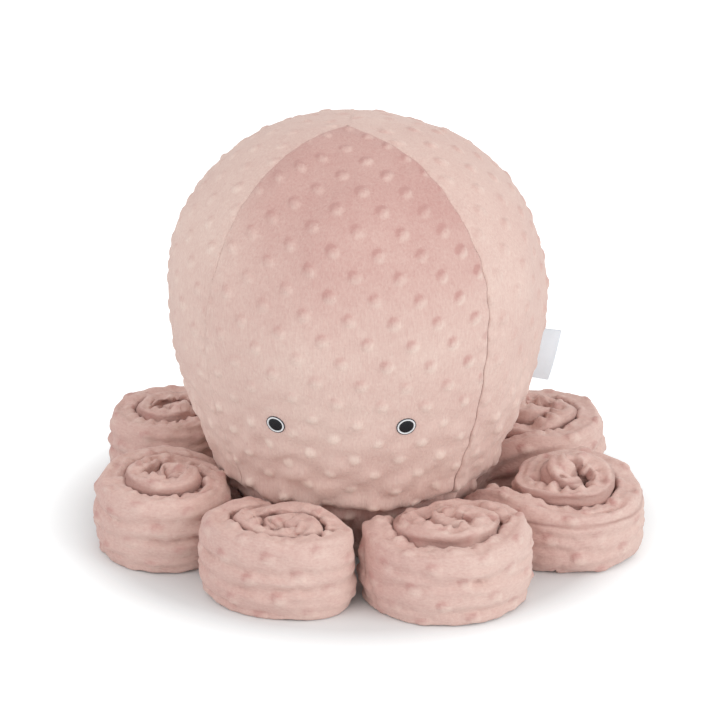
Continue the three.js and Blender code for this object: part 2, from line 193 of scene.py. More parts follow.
class OctopusClothSettings(bpy.types.PropertyGroup):
    thickness: FloatProperty(
        name="Thickness", description="Thickness of the cloth with its pile", default=0.0024,
        unit="LENGTH")
    mesh_step: FloatProperty(
        name="Mesh step", description="Spacing of the head's mesh", default=0.0018, unit="LENGTH")
    dot_pitch: FloatProperty(
        name="Dot pitch", description="Distance between the dots of a row", default=0.035, unit="LENGTH")
    dot_row: FloatProperty(
        name="Dot rows", description="Distance between neighbouring rows of dots", default=0.0178,
        unit="LENGTH")
    dot_diameter: FloatProperty(
        name="Dot diameter", description="Diameter of a raised dot", default=0.0105, unit="LENGTH")
    dot_height: FloatProperty(
        name="Dot height", description="Height of a raised dot", default=0.0016, unit="LENGTH")
    seam_depth: FloatProperty(
        name="Seam depth", description="How far a seam is drawn in", default=0.0014, unit="LENGTH")
    seam_width: FloatProperty(
        name="Seam width", description="How far from a seam the cloth turns in", default=0.0016,
        unit="LENGTH")
    # The light and shaded nap colours are a lighter and a darker copy of the plush's colour: mixing them
    # gives the pile's random tone, and also painted shade and highlight round the dots, under the hem, on
    # the legs' left-facing sides and towards the top of the face.
    light: FloatVectorProperty(
        name="Light nap", description="Colour of pile brushed towards the eye", subtype="COLOR", size=3,
        default=(0.80, 0.605, 0.535))
    shade: FloatVectorProperty(
        name="Shaded nap", description="Colour of pile brushed away from the eye", subtype="COLOR",
        size=3, default=(0.66, 0.425, 0.38))
    # The deep crease colour is painted shade: the seams, the hollows of the legs' cloth and the places where
    # wraps touch are darkened towards it.
    deep: FloatVectorProperty(
        name="Deep creases", description="Colour of the pile down in a crease", subtype="COLOR",
        size=3, default=(0.34, 0.165, 0.140))


class OctopusLegSettings(bpy.types.PropertyGroup):
    reach: FloatProperty(
        name="Reach", description="Distance of the coils' middles from the head's middle", default=0.170,
        unit="LENGTH")
    coil: FloatProperty(
        name="Coil diameter", description="Diameter of an even coil", default=0.124, unit="LENGTH")
    height: FloatProperty(
        name="Height", description="Height of the outermost wrap", default=0.0615, unit="LENGTH")
    core_height: FloatProperty(
        name="Core height", description="Height of the inner wraps", default=0.0675, unit="LENGTH")
    tip_height: FloatProperty(
        name="Tip height", description="Height of the band at its tip", default=0.065, unit="LENGTH")
    thickness: FloatProperty(
        name="Thickness", description="Thickness of the band at its root", default=0.0245, unit="LENGTH")
    tip_thickness: FloatProperty(
        name="Tip thickness", description="Thickness of the band at its tip", default=0.016,
        unit="LENGTH")
    wrap_gap: FloatProperty(
        name="Wrap gap", description="Gap between neighbouring wraps", default=0.0013, unit="LENGTH")
    wound: FloatProperty(
        name="Wound angle", description="How far the band is wound", default=math.radians(795),
        subtype="ANGLE")
    join: FloatProperty(
        name="Root join", description="Winding angle at which the root joins the coil",
        default=math.radians(-37), subtype="ANGLE")
    root_width: FloatProperty(
        name="Root width", description="Width of the flat root", default=0.044, unit="LENGTH")
    root_height: FloatProperty(
        name="Root height", description="Height of the flat root", default=0.0146, unit="LENGTH")
    root_offset: FloatProperty(
        name="Root offset", description="How far to the side the root is sewn on", default=0.014,
        unit="LENGTH")
    cloth_step: FloatProperty(
        name="Cloth step", description="Spacing of the points that the cloth is settled with",
        default=0.0036, unit="LENGTH")
    around: IntProperty(name="Points around", description="Points round the band", default=46)
    steps: IntProperty(name="Settling steps", description="Steps of the cloth's settling", default=90)
    slack: FloatProperty(
        name="Slack", description="Cloth round the band, as a share of the space it fills", default=1.09)
    spare: FloatProperty(
        name="Spare cloth", description="Share of the inner face's spare length that isn't taken up",
        default=0.75)
    filling: FloatProperty(
        name="Filling push", description="How far the filling pushes the cloth in each step",
        default=0.00013, unit="LENGTH")
    pleat_depth: FloatProperty(
        name="Pleat depth", description="Depth of the pleats that the winding starts with",
        default=0.0022, unit="LENGTH")
    pleat_length: FloatProperty(
        name="Pleat length", description="Length of one pleat along the band", default=0.014,
        unit="LENGTH")
    crease_depth: FloatProperty(
        name="Crease depth", description="Depth of the soft creases along the outer face",
        default=0.0035, unit="LENGTH")
    dot_share: FloatProperty(
        name="Dot share", description="Height of the legs' dots as a share of the head's", default=0.9)


class OctopusEyeSettings(bpy.types.PropertyGroup):
    left_turn: FloatProperty(
        name="Left turn", description="Turn of the left eye from the middle of the face",
        subtype="ANGLE", default=math.radians(-21.3))
    right_turn: FloatProperty(
        name="Right turn", description="Turn of the right eye from the middle of the face",
        subtype="ANGLE", default=math.radians(20.3))
    left_height: FloatProperty(
        name="Left height", description="Height of the left eye above the floor", default=0.138,
        unit="LENGTH")
    right_height: FloatProperty(
        name="Right height", description="Height of the right eye above the floor", default=0.1404,
        unit="LENGTH")
    pupil: FloatProperty(
        name="Pupil", description="Diameter of the black pupil", default=0.0116, unit="LENGTH")
    white: FloatProperty(
        name="White", description="Diameter of the white ring", default=0.0146, unit="LENGTH")
    outline: FloatProperty(
        name="Outline", description="Diameter of the dark outline", default=0.0157, unit="LENGTH")
    stitch: FloatProperty(
        name="Stitch", description="Width of one satin stitch", default=0.00042, unit="LENGTH")


class OctopusLabelSettings(bpy.types.PropertyGroup):
    turn: FloatProperty(
        name="Turn", description="Turn of the label's seam from the middle of the face",
        subtype="ANGLE", default=math.radians(108.5))
    thread: FloatProperty(
        name="Thread", description="Width of one thread of the tape", default=0.0005, unit="LENGTH")
    thickness: FloatProperty(
        name="Thickness", description="Thickness of the tape", default=0.0005, unit="LENGTH")
    fold: FloatProperty(
        name="Fold", description="Diameter of the rounded fold", default=0.0016, unit="LENGTH")


class OctopusStageSettings(bpy.types.PropertyGroup):
    distance: FloatProperty(
        name="Camera distance", description="Distance of the camera from the frame's origin",
        default=2.992, unit="LENGTH")
    elevation: FloatProperty(
        name="Camera elevation", description="Angle of the camera above the floor", subtype="ANGLE",
        default=math.radians(22.5))
    aside: FloatProperty(
        name="Camera aside", description="How far the camera stands to the right", default=0.0033,
        unit="LENGTH")
    raised: FloatProperty(
        name="Camera raised", description="How far the camera is raised square to its view",
        default=0.127, unit="LENGTH")
    lens: FloatProperty(name="Lens", description="Focal length in millimetres", default=181.35)
    key: FloatProperty(name="Key light", description="Power of the key light in watts", default=30.0)
    fill: FloatProperty(name="Fill light", description="Power of the fill light in watts", default=17.0)
    sky: FloatProperty(name="Sky", description="Strength of the even light all round", default=0.78)


def deselect_all():
    """Leaves nothing selected and no active object."""
    for item in bpy.context.view_layer.objects:
        item.select_set(False)
    bpy.context.view_layer.objects.active = None


def make_active(item):
    """Selects one object alone."""
    deselect_all()
    item.select_set(True)
    bpy.context.view_layer.objects.active = item


def apply_modifier(item, name, kind, **values):
    """Adds a modifier with these values and applies it."""
    make_active(item)
    modifier = item.modifiers.new(name, kind)
    for key, value in values.items():
        setattr(modifier, key, value)
    bpy.ops.object.modifier_apply(modifier=name)


def smooth_step(low, high, value):
    """0 below low, 1 above high, and a smooth rise between them."""
    share = np.clip((value - low) / (high - low), 0, 1)
    return share * share * (3 - 2 * share)


def between(places, value):
    """0 outside the first and last of four places, 1 between the middle two, and smooth elsewhere."""
    start, full, fade, end = places
    return smooth_step(start, full, value) * smooth_step(end, fade, value)


def ripple(points, length, seed, waves=14):
    """A smooth unevenness within -2 to 2 with bumps of this length, the same for the same seed."""
    draw = np.random.default_rng(seed)
    way = draw.normal(size=(waves, points.shape[-1]))
    way /= np.linalg.norm(way, axis=1, keepdims=True)
    stretch = draw.uniform(0.7, 1.4, waves)
    phase = draw.uniform(0, TURN, waves)
    height = np.cos(points @ (way * (stretch * TURN / (2 * length))[:, None]).T + phase)
    return 2 * np.tanh(height.sum(-1) / math.sqrt(2 * waves))


def rippled(name, places, seed):
    """One of the named ripples of the cloth, as a height at these places."""
    height, length, added = RIPPLES[name]
    return height * ripple(places, length, seed + added)


def stacked(*parts):
    """Rows, columns or grids of coordinates as one grid of points."""
    return np.stack(np.broadcast_arrays(*parts), -1)


def dot_heights(cloth, along, up, shift=(0.0, 0.0), turn=0.0):
    """Share of a dot's height at places on the flat cloth; the rows of dots are staggered.

    Each dot has its own chance value, which varies its height a little.
    """
    flat_top, foot, lowest, more = 0.45, 1.15, 0.8, 0.4
    cos, sin = math.cos(turn), math.sin(turn)
    x = (along * cos - up * sin + shift[0]) / cloth.dot_pitch
    y = (along * sin + up * cos + shift[1]) / (2 * cloth.dot_row)
    first, second = x + y, x - y
    near_first, near_second = np.round(first), np.round(second)
    off_x = (first - near_first + second - near_second) / 2 * cloth.dot_pitch
    off_y = (first - near_first - second + near_second) / 2 * 2 * cloth.dot_row
    apart = np.hypot(off_x, off_y) / (cloth.dot_diameter / 2)
    chance = np.modf(np.abs(np.sin(near_first * 12.99 + near_second * 78.23) * 437.5))[0]
    return (1 - smooth_step(flat_top, foot, apart)) * (lowest + more * chance)


def brushed_dots(cloth, along, up, shift=(0.0, 0.0), turn=0.0):
    """Painted shade and highlight on a dot: painted shade on its upper left side and a painted highlight on
    its lower right side.
    """
    aside, down = 0.0012, 0.0016
    ahead = dot_heights(cloth, along + aside, up - down, shift, turn)
    return ahead - dot_heights(cloth, along - aside, up + down, shift, turn)


def grid_faces(rows, columns, closed):
    """Quads of a grid of points kept row after row; a closed grid joins its last column to its first."""
    row = np.arange(rows - 1)[:, None]
    column = np.arange(columns if closed else columns - 1)[None]
    after = (column + 1) % columns
    corners = [row * columns + column, row * columns + after, (row + 1) * columns + after,
               (row + 1) * columns + column]
    return stacked(*corners).reshape(-1, 4)


def band_faces(rows, columns):
    """Faces of a closed band that point outward, with a face across each end."""
    faces = [face[::-1] for face in grid_faces(rows, columns, True)]
    faces.append(tuple(range(columns)))
    faces.append(tuple((rows - 1) * columns + i for i in range(columns))[::-1])
    return faces


def mesh_object(name, points, faces, **layers):
    """A smooth object of these points and faces; the layers are attributes that the nap reads."""
    mesh = bpy.data.meshes.new(name)
    mesh.from_pydata(points.reshape(-1, 3).tolist(), [], [list(f) for f in faces])
    mesh.polygons.foreach_set("use_smooth", [True] * len(mesh.polygons))
    for key, values in layers.items():
        layer = mesh.attributes.new(key, "FLOAT", "POINT")
        layer.data.foreach_set("value", values.astype(np.float32).ravel())
    mesh.update()
    item = bpy.data.objects.new(name, mesh)
    bpy.context.scene.collection.objects.link(item)
    return item


def finish_piece(item, material, body, slot, *nodes):
    """Gives a finished piece its material and its body, and hides the nodes it stands for; the slot is not
    used.
    """
    item.data.materials.clear()
    item.data.materials.append(material)
    if body is not None:
        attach(item, body)
    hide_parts(*nodes)


def head_profile(head, step):
    """Rows of the head from the base seam to the crown, a step apart.

    Returns the radius, the height, the outward direction and the run up from the base seam.
    """
    samples = 400
    fall = head.widest - head.seam_height
    share = 1 - np.linspace(0, 1, samples, endpoint=False)
    jowl_radius = head.radius - (head.radius - head.seam_radius) * share ** head.jowl_power
    slope = head.jowl_power * (head.radius - head.seam_radius) * share ** (head.jowl_power - 1) / fall
    angle = np.linspace(0, math.acos(head.crown_radius / head.radius), samples)
    rise = head.height - head.widest
    crown_radius = head.radius * np.cos(angle)
    crown_height = head.widest + rise * np.sin(angle) ** (2 / head.crown_power)
    crown_up = np.sin(angle) ** (2 - 2 / head.crown_power) * head.radius * head.crown_power / 2
    radius = np.concatenate([jowl_radius, crown_radius])
    height = np.concatenate([head.widest - fall * share, crown_height])
    out = np.concatenate([np.ones_like(slope), np.cos(angle) * rise])
    up = np.concatenate([-slope, crown_up])
    length = np.hypot(out, up)
    run = np.concatenate([[0], np.cumsum(np.hypot(np.diff(radius), np.diff(height)))])
    at = np.linspace(0, run[-1], int(run[-1] / step) + 1)
    return [np.interp(at, run, value) for value in (radius, height, out / length, up / length)] + [at]


def head_place(head, radius, height, out, up, angle, outside):
    """Points of the head at an angle from straight ahead, so far outside the plain form."""
    r = radius + out * outside
    z = height + up * outside
    lean = head.lean * (height / head.height) ** 2
    rise = (height - head.widest) / (head.height - head.widest)
    pull = np.maximum(rise, 0) ** head.crown_pull
    x = r * np.sin(angle) + head.crown_aside * pull
    y = -r * np.cos(angle) - lean - head.crown_forward * pull
    return stacked(x, y, z)


def jowl_radius_at(head, height):
    """Radius of the head at a height below its widest ring."""
    share = np.clip((head.widest - height) / (head.widest - head.seam_height), 0, 1)
    return head.radius - (head.radius - head.seam_radius) * share ** head.jowl_power


def underside_height(head, radius):
    """Height of the head's underside over a place this far from its middle."""
    share = np.clip((head.radius - radius) / (head.radius - head.seam_radius), 0, 1)
    return head.widest - (head.widest - head.seam_height) * share ** (1 / head.jowl_power)


def head_place_at(head, height, angle, outside):
    """A point of the jowl and its outward direction, for trim that is sewn to the head."""
    share = (head.widest - height) / (head.widest - head.seam_height)
    slope = head.jowl_power * (head.radius - head.seam_radius) * share ** (head.jowl_power - 1)
    slope /= head.widest - head.seam_height
    length = math.hypot(1, slope)
    radius = float(jowl_radius_at(head, height))
    place = head_place(head, radius, height, 1 / length, -slope / length, angle, outside)
    out = Vector((math.sin(angle) / length, -math.cos(angle) / length, -slope / length))
    return Vector(place.tolist()), out


def eye_places(head, eye):
    """The angle and the height of each eye's middle."""
    return {"left": (head.face_turn + eye.left_turn, eye.left_height),
            "right": (head.face_turn + eye.right_turn, eye.right_height)}


def eye_clearing(head, eye, angle, run, radius):
    """0 where the cloth is stitched flat by an eye, and 1 well away from both eyes."""
    flat_share, clear_share = 0.55, 1.25
    _, rows, _, _, at = head_profile(head, 0.001)
    clear = np.ones(np.broadcast(angle, run).shape)
    for middle, height in eye_places(head, eye).values():
        apart = np.hypot((angle - middle) * radius, run - np.interp(height, rows, at))
        clear_here = smooth_step(eye.outline * flat_share, eye.outline * clear_share, apart)
        clear = np.minimum(clear, clear_here)
    return clear


class OCTOPUS_OT_head_panels(bpy.types.Operator):
    """Sews the head's five panels, with their seams, puckers and raised dots"""

    bl_idname = "octopus.head_panels"
    bl_label = "Head Panels"

    def execute(self, context):
        scene = context.scene
        for index, (name, panel) in enumerate(PANELS.items()):
            item = sew_panel(scene, name, panel, index)
            finish_piece(item, plush(scene.octopus_cloth, panel["nap"]), "head", "plush", name)
        return {"FINISHED"}


def seam_angle(head, edge, run, height):
    """Angle of the seam that starts at this edge, which wanders a little on its way up the head."""
    aside, stray_length = 0.0007, 0.013
    shoulder, shoulder_height = 0.255, 0.05
    stray = ripple(run, stray_length, round(edge * 10) % 3600, 6)[:, None]
    twisted = head.twist * np.exp(-((height - shoulder) / shoulder_height) ** 2)
    return head.face_turn + math.radians(edge) + aside / head.radius * stray + twisted


def panel_brush(cloth, panel, across, run, height, seam, dots):
    """Painted shade and highlight on a panel: painted shade and highlight round its dots on the upper head,
    stronger towards its right side, its dots paler below the shoulders, and painted shade under its hem,
    where the head's underside is in shade.
    """
    shaded, lit, sewn_margin, light_reach = 1.1, 0.8, 0.003, 0.25
    jowl, shoulder = 0.11, 0.20
    hem_foot, hem_top = 0.035, 0.051
    brush = brushed_dots(cloth, across, run, panel["shift"], math.radians(panel["turn"]))
    upper = smooth_step(jowl, shoulder, height)
    # Painted shade and highlight round the dots, only on the upper head and stronger towards the panel's
    # right side.
    brush = np.where(brush > 0, brush * shaded, brush * lit) * upper * (1 + across / light_reach)
    brush = (brush - shaded * dots * (1 - upper)) * smooth_step(0, sewn_margin, seam)
    # Painted shade under the hem, where the head's underside is in shade.
    return brush + smooth_step(hem_top, hem_foot, run)


def seam_relief(cloth, drawn, run, height, seam, full, seed):
    """How far the panel's seams draw its edges in, with the puckers beside them."""
    shoulder, crown, crown_drawn, base_margin = 0.235, 0.275, 0.6, 0.002
    pucker_reach, pucker_start = 0.009, 0.003
    groove = drawn + (crown_drawn - drawn) * smooth_step(shoulder, crown, height)
    edge = np.minimum(seam, run + base_margin)
    relief = -cloth.seam_depth * groove * np.exp(-edge / cloth.seam_width) * full
    pucker = rippled("seam_pucker", stacked(run, seam * 0.35), seed)
    near = np.exp(-seam / pucker_reach) * smooth_step(0, pucker_start, seam)
    return relief + pucker * near * full


def stuffing_relief(places, height, seam, seed):
    """The uneven stuffing, and the slack cloth of the jowl."""
    bump_margin, slack_margin = 0.03, 0.02
    jowl, widest = 0.09, 0.20
    bump = rippled("stuffing_bump", places, seed) * smooth_step(0, bump_margin, seam)
    loose = smooth_step(widest, jowl, height) * smooth_step(0, slack_margin, seam)
    return bump + rippled("jowl_slack", places, seed) * loose


def hem_relief(across, run, seed):
    """The soft roll above the base, the fold below it and the gathers down to the base seam."""
    roll_run, roll_width, roll_height = 0.054, 0.008, 0.0030
    fold_run, fold_width, fold_depth = 0.0415, 0.004, 0.0038
    gather_reach = 0.028
    hem = run + rippled("hem_stray", stacked(across, 0 * run), seed)
    roll = roll_height * np.exp(-((hem - roll_run) / roll_width) ** 2)
    fold = fold_depth * np.exp(-((hem - fold_run) / fold_width) ** 2)
    gather = rippled("base_gather", stacked(across, run * 0.15), seed)
    return roll - fold + gather * np.exp(-run / gather_reach)


def panel_columns(head, cloth, low, high):
    """Places across a panel as shares of its width, with two more columns beside each seam."""
    first, second = 0.25, 0.6
    columns = int(np.mean(high - low) * head.radius / cloth.mesh_step) + 1
    share = np.linspace(0, 1, columns)
    beside = share[1] * np.array([first, second])
    return np.sort(np.concatenate([share, beside, 1 - beside]))[None]


def sew_panel(scene, name, panel, seed):
    """One gore of the head: a curved sheet whose edges turn in at the seams, given its thickness."""
    seam_gap, dot_free, dot_whole, least_relief = 0.00003, 0.0005, 0.003, 0.15
    seam_shade_width, seam_shade_share, seam_shade_top, seam_shade_full = 0.0009, 0.6, 0.27, 0.19
    head, cloth = scene.octopus_head, scene.octopus_cloth
    radius, height, out, up, run = [row[:, None] for row in head_profile(head, cloth.mesh_step)]
    low, high = [seam_angle(head, edge, run, height) for edge in panel["edges"]]
    share = panel_columns(head, cloth, low, high)
    margin = seam_gap / radius
    angle = low + margin + (high - low - 2 * margin) * share
    across = radius * (angle - (low + high) / 2)
    seam = radius * np.minimum(angle - low, high - angle)
    dots = dot_heights(cloth, across, run, panel["shift"], math.radians(panel["turn"]))
    # Painted shade and highlight round the dots and under the hem, kept as a layer for the nap.
    brush = panel_brush(cloth, panel, across, run, height, seam, dots)
    dots = dots * smooth_step(dot_free, dot_whole, seam)
    clear = 1
    if name == "face_panel":
        clear = eye_clearing(head, scene.octopus_eye, angle, run, radius)
        dots, brush = dots * clear, brush * clear
    full = np.clip(radius / head.radius, least_relief, 1)
    drawn = panel["drawn"][0] + (panel["drawn"][1] - panel["drawn"][0]) * share
    places = head_place(head, radius, height, out, up, angle, 0)
    outside = cloth.dot_height * panel["dots"] * dots
    outside = outside + seam_relief(cloth, drawn, run, height, seam, full, seed)
    outside = outside + stuffing_relief(places, height, seam, seed)
    outside = outside + hem_relief(across, run, seed)
    points = head_place(head, radius, height, out, up, angle, outside * clear)
    faces = grid_faces(*points.shape[:2], False)
    # Painted shade along each seam's fold, drawn in like the seam and fading out towards the crown.
    seam_shade = np.exp(-(seam / seam_shade_width) ** 2) * drawn
    seam_shade = seam_shade * smooth_step(seam_shade_top, seam_shade_full, height) * seam_shade_share
    item = mesh_object(name + "_cloth", points, faces, dot=dots, brush=brush, seam=seam_shade)
    apply_modifier(item, "Wall", "SOLIDIFY", thickness=cloth.thickness, offset=-1)
    return item


class OCTOPUS_OT_base_panel(bpy.types.Operator):
    """Closes the head underneath with a round panel that is pressed flat by the floor"""

    bl_idname = "octopus.base_panel"
    bl_label = "Base Panel"

    def execute(self, context):
        cloth = context.scene.octopus_cloth
        low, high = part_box("base_panel")
        rings, columns = 38, 180
        hub, turned_up, dot_margin, sunk = 0.0005, 0.0055, 0.006, 0.0006
        flat = high.x - turned_up
        rim_out = flat + np.array([0.0022, 0.0040, 0.0052, 0.0056])
        rim_up = np.array([0.0010, 0.0045, 0.0100, high.z])
        radius = np.concatenate([np.linspace(hub, flat, rings), rim_out])[:, None]
        height = np.concatenate([np.zeros(rings), rim_up])[:, None] + low.z
        angle = np.linspace(0, TURN, columns, endpoint=False)[None]
        places = stacked(radius * np.sin(angle), -radius * np.cos(angle), height)
        within = smooth_step(flat, flat - dot_margin, radius)
        dots = dot_heights(cloth, places[..., 0], places[..., 1]) * within
        places[..., 2] += sunk * (1 - dots) * within
        faces = list(grid_faces(*places.shape[:2], True))
        faces.append(tuple(range(columns))[::-1])
        item = mesh_object("base_panel_cloth", places, faces, dot=dots)
        apply_modifier(item, "Wall", "SOLIDIFY", thickness=cloth.thickness, offset=-1)
        finish_piece(item, plush(cloth, "side"), "head", "plush", "base_panel")
        return {"FINISHED"}


class OCTOPUS_OT_head_filling(bpy.types.Operator):
    """Fills the head with loose wadding that follows the inside of its panels"""

    bl_idname = "octopus.head_filling"
    bl_label = "Head Filling"

    def execute(self, context):
        step, columns = 0.006, 150
        gap, deepest_share, lump_height, lump_length = 0.0040, 0.8, 0.0012, 0.012
        head, cloth = context.scene.octopus_head, context.scene.octopus_cloth
        radius, height, out, up, _ = [row[:, None] for row in head_profile(head, step)]
        angle = np.linspace(0, TURN, columns, endpoint=False)[None]
        places = head_place(head, radius, height, out, up, angle, 0)
        inset = cloth.thickness + cloth.seam_depth + gap
        outside = -inset - lump_height * (1 + ripple(places, lump_length, 7))
        outside = np.maximum(outside, -radius * deepest_share)
        places = head_place(head, radius, height, out, up, angle, outside)
        faces = [face[::-1] for face in band_faces(*places.shape[:2])]
        item = mesh_object("head_filling", places, faces)
        finish_piece(item, wadding(), "head", "stuffing", "head_stuffing")
        return {"FINISHED"}


def wind_points(leg, legs, angle):
    """Middle line of a wound band in the leg's plan, and the band's place along and aside."""
    pitch = legs.thickness + legs.wrap_gap
    start = (legs.coil - legs.thickness) / 2 + pitch / 4
    taper = (legs.thickness - legs.tip_thickness) / (2 * legs.wound)
    radius = start - (pitch * angle - taper * angle ** 2) / TURN
    along = legs.reach * leg["reach"] + radius * np.sin(angle) * leg["depth"]
    aside = (radius * np.cos(angle) - pitch / 4) * leg["width"]
    return stacked(along, aside)


def root_points(leg, legs, head, share):
    """Middle line of the root: it leaves the head square to its seam and joins the coil smoothly."""
    clearance, small_turn = 0.0004, 0.01
    join = wind_points(leg, legs, np.array(legs.join))
    turn = wind_points(leg, legs, np.array(legs.join + small_turn)) - join
    turn /= np.linalg.norm(turn)
    start = np.array([head.seam_radius + clearance, legs.root_offset])
    run = np.linalg.norm(join - start)
    ease = share * share * (3 - 2 * share)
    leave = (share * (1 - share) ** 2 * run)[:, None] * np.array([1.0, 0.0])
    arrive = (share * share * (share - 1) * run)[:, None] * turn
    return start + (join - start) * ease[:, None] + leave + arrive


def band_line(leg, legs, head):
    """The band's middle line on the floor, evenly spaced, with its thickness and its height."""
    root_samples, coil_samples, narrowed_at, raised_at = 60, 900, 0.5, 0.3
    core_from, core_to, tip_turn = 4.9, 6.9, 4
    share = np.linspace(0, 1, root_samples, endpoint=False)
    narrow = smooth_step(0, narrowed_at, share)
    angle = np.linspace(legs.join, legs.wound, coil_samples)
    line = np.concatenate([root_points(leg, legs, head, share), wind_points(leg, legs, angle)])
    turned = np.clip(angle, 0, None) / legs.wound
    wide = np.concatenate([legs.root_width + (legs.thickness - legs.root_width) * narrow,
                           legs.thickness + (legs.tip_thickness - legs.thickness) * turned])
    raised = smooth_step(0, raised_at, share)
    outer = legs.height * leg["height"]
    core = outer + (legs.core_height - outer) * smooth_step(core_from, core_to, angle)
    core += (legs.tip_height - core) * smooth_step(legs.wound - tip_turn, legs.wound, angle)
    far_side, right_side = leg.get("lean", (0.0, 0.0))
    core *= 1 - far_side * np.sin(angle) - right_side * np.cos(angle)
    tall = np.concatenate([legs.root_height + (core[0] - legs.root_height) * raised, core])
    run = np.concatenate([[0], np.cumsum(np.linalg.norm(np.diff(line, axis=0), axis=1))])
    at = np.linspace(0, run[-1], int(run[-1] / legs.cloth_step) + 1)
    along, aside, wide, tall = [np.interp(at, run, value) for value in (*line.T, wide, tall)]
    turn = math.radians(leg["angle"])
    out = np.array([math.sin(turn), -math.cos(turn)])
    plan = along[:, None] * out + aside[:, None] * np.array([out[1], -out[0]])
    return plan, wide, tall, at


def band_section(count):
    """Places round the band's section from the middle of its bottom, as shares of its thickness
    from the middle line (outer face positive) and of its height."""
    squareness, thickness_share = 4, 0.4
    turn = np.linspace(0, TURN, 2001) - math.pi / 2
    power = 2 / squareness
    across = np.sign(np.cos(turn)) * np.abs(np.cos(turn)) ** power / 2
    high = np.sign(np.sin(turn)) * np.abs(np.sin(turn)) ** power / 2
    run = np.concatenate([[0], np.cumsum(np.hypot(np.diff(across) * thickness_share, np.diff(high)))])
    at = np.linspace(0, run[-1], count, endpoint=False)
    return np.interp(at, run, across), np.interp(at, run, high) + 0.5


def neighbour_room(plan, normal, tangent, wide, at):
    """How far the band may swell to its inner and outer side before it meets the next wrap."""
    same_wrap, beside = 0.05, 0.005
    apart = plan[None] - plan[:, None]
    aside = (apart * normal[:, None]).sum(-1)
    along = np.abs((apart * tangent[:, None]).sum(-1))
    other = (np.abs(at[None] - at[:, None]) > same_wrap) & (along < beside)
    share = wide[:, None] / (wide[:, None] + wide[None])
    outer = np.where(other & (aside > 0), aside * share, np.inf).min(1)
    inner = np.where(other & (aside < 0), aside * share, -np.inf).max(1)
    return inner, outer


def spring(points, rest, share, rows=0, columns=0, push=False):
    """Moves each point and the one so many rows and columns on towards their rest distance.

    A spring that only pushes leaves pairs that are further apart alone.
    """
    count = len(points) - rows
    apart = np.roll(points, -columns, axis=1)[rows:] - points[:count]
    length = np.linalg.norm(apart, axis=-1) + 1e-9
    error = (length - rest) / length
    if push:
        error = np.minimum(error, 0)
    move = (share / 2 * error)[..., None] * apart
    points[:count] += move
    points[rows:] -= np.roll(move, columns, axis=1)


def outward(points):
    """Unit normals of a closed band of points."""
    along = np.gradient(points, axis=0)
    around = (np.roll(points, -1, 1) - np.roll(points, 1, 1)) / 2
    normal = np.cross(along, around)
    return normal / (np.linalg.norm(normal, axis=-1, keepdims=True) + 1e-12)


def wander(draw, count, smooth, size):
    """Random values that change slowly along a line; the more are smoothed together, the slower."""
    raw = draw.normal(size=count + smooth - 1)
    return np.convolve(raw, np.ones(smooth) / math.sqrt(smooth), "valid") * size


def pleat_band(points, normal, legs, draw):
    """Starts the pleats: waves along the inner edge and the inner face, where the cloth is spare."""
    tip_share, unevenness, roughness, kept_rough = 1.6, 0.35, 0.0005, 2.4
    across, high = band_section(points.shape[1])
    step = TURN * legs.cloth_step / legs.pleat_length
    phase = np.cumsum(step * (1 + wander(draw, len(points), 9, unevenness)))
    inner = np.clip(-across * 2, 0, 1)
    top = np.clip(high * 2 - 1, 0, 1)
    deeper = np.linspace(1, tip_share, len(points))
    wave = (legs.pleat_depth * deeper * np.cos(phase))[:, None]
    points[..., 2] += wave * top * inner
    points[..., :2] -= normal[:, None] * (wave * inner)[..., None]
    rough = draw.normal(size=points.shape) * roughness
    for axis in (0, 1, 0, 1):
        rough = (np.roll(rough, 1, axis) + rough + np.roll(rough, -1, axis)) / kept_rough
    points += rough


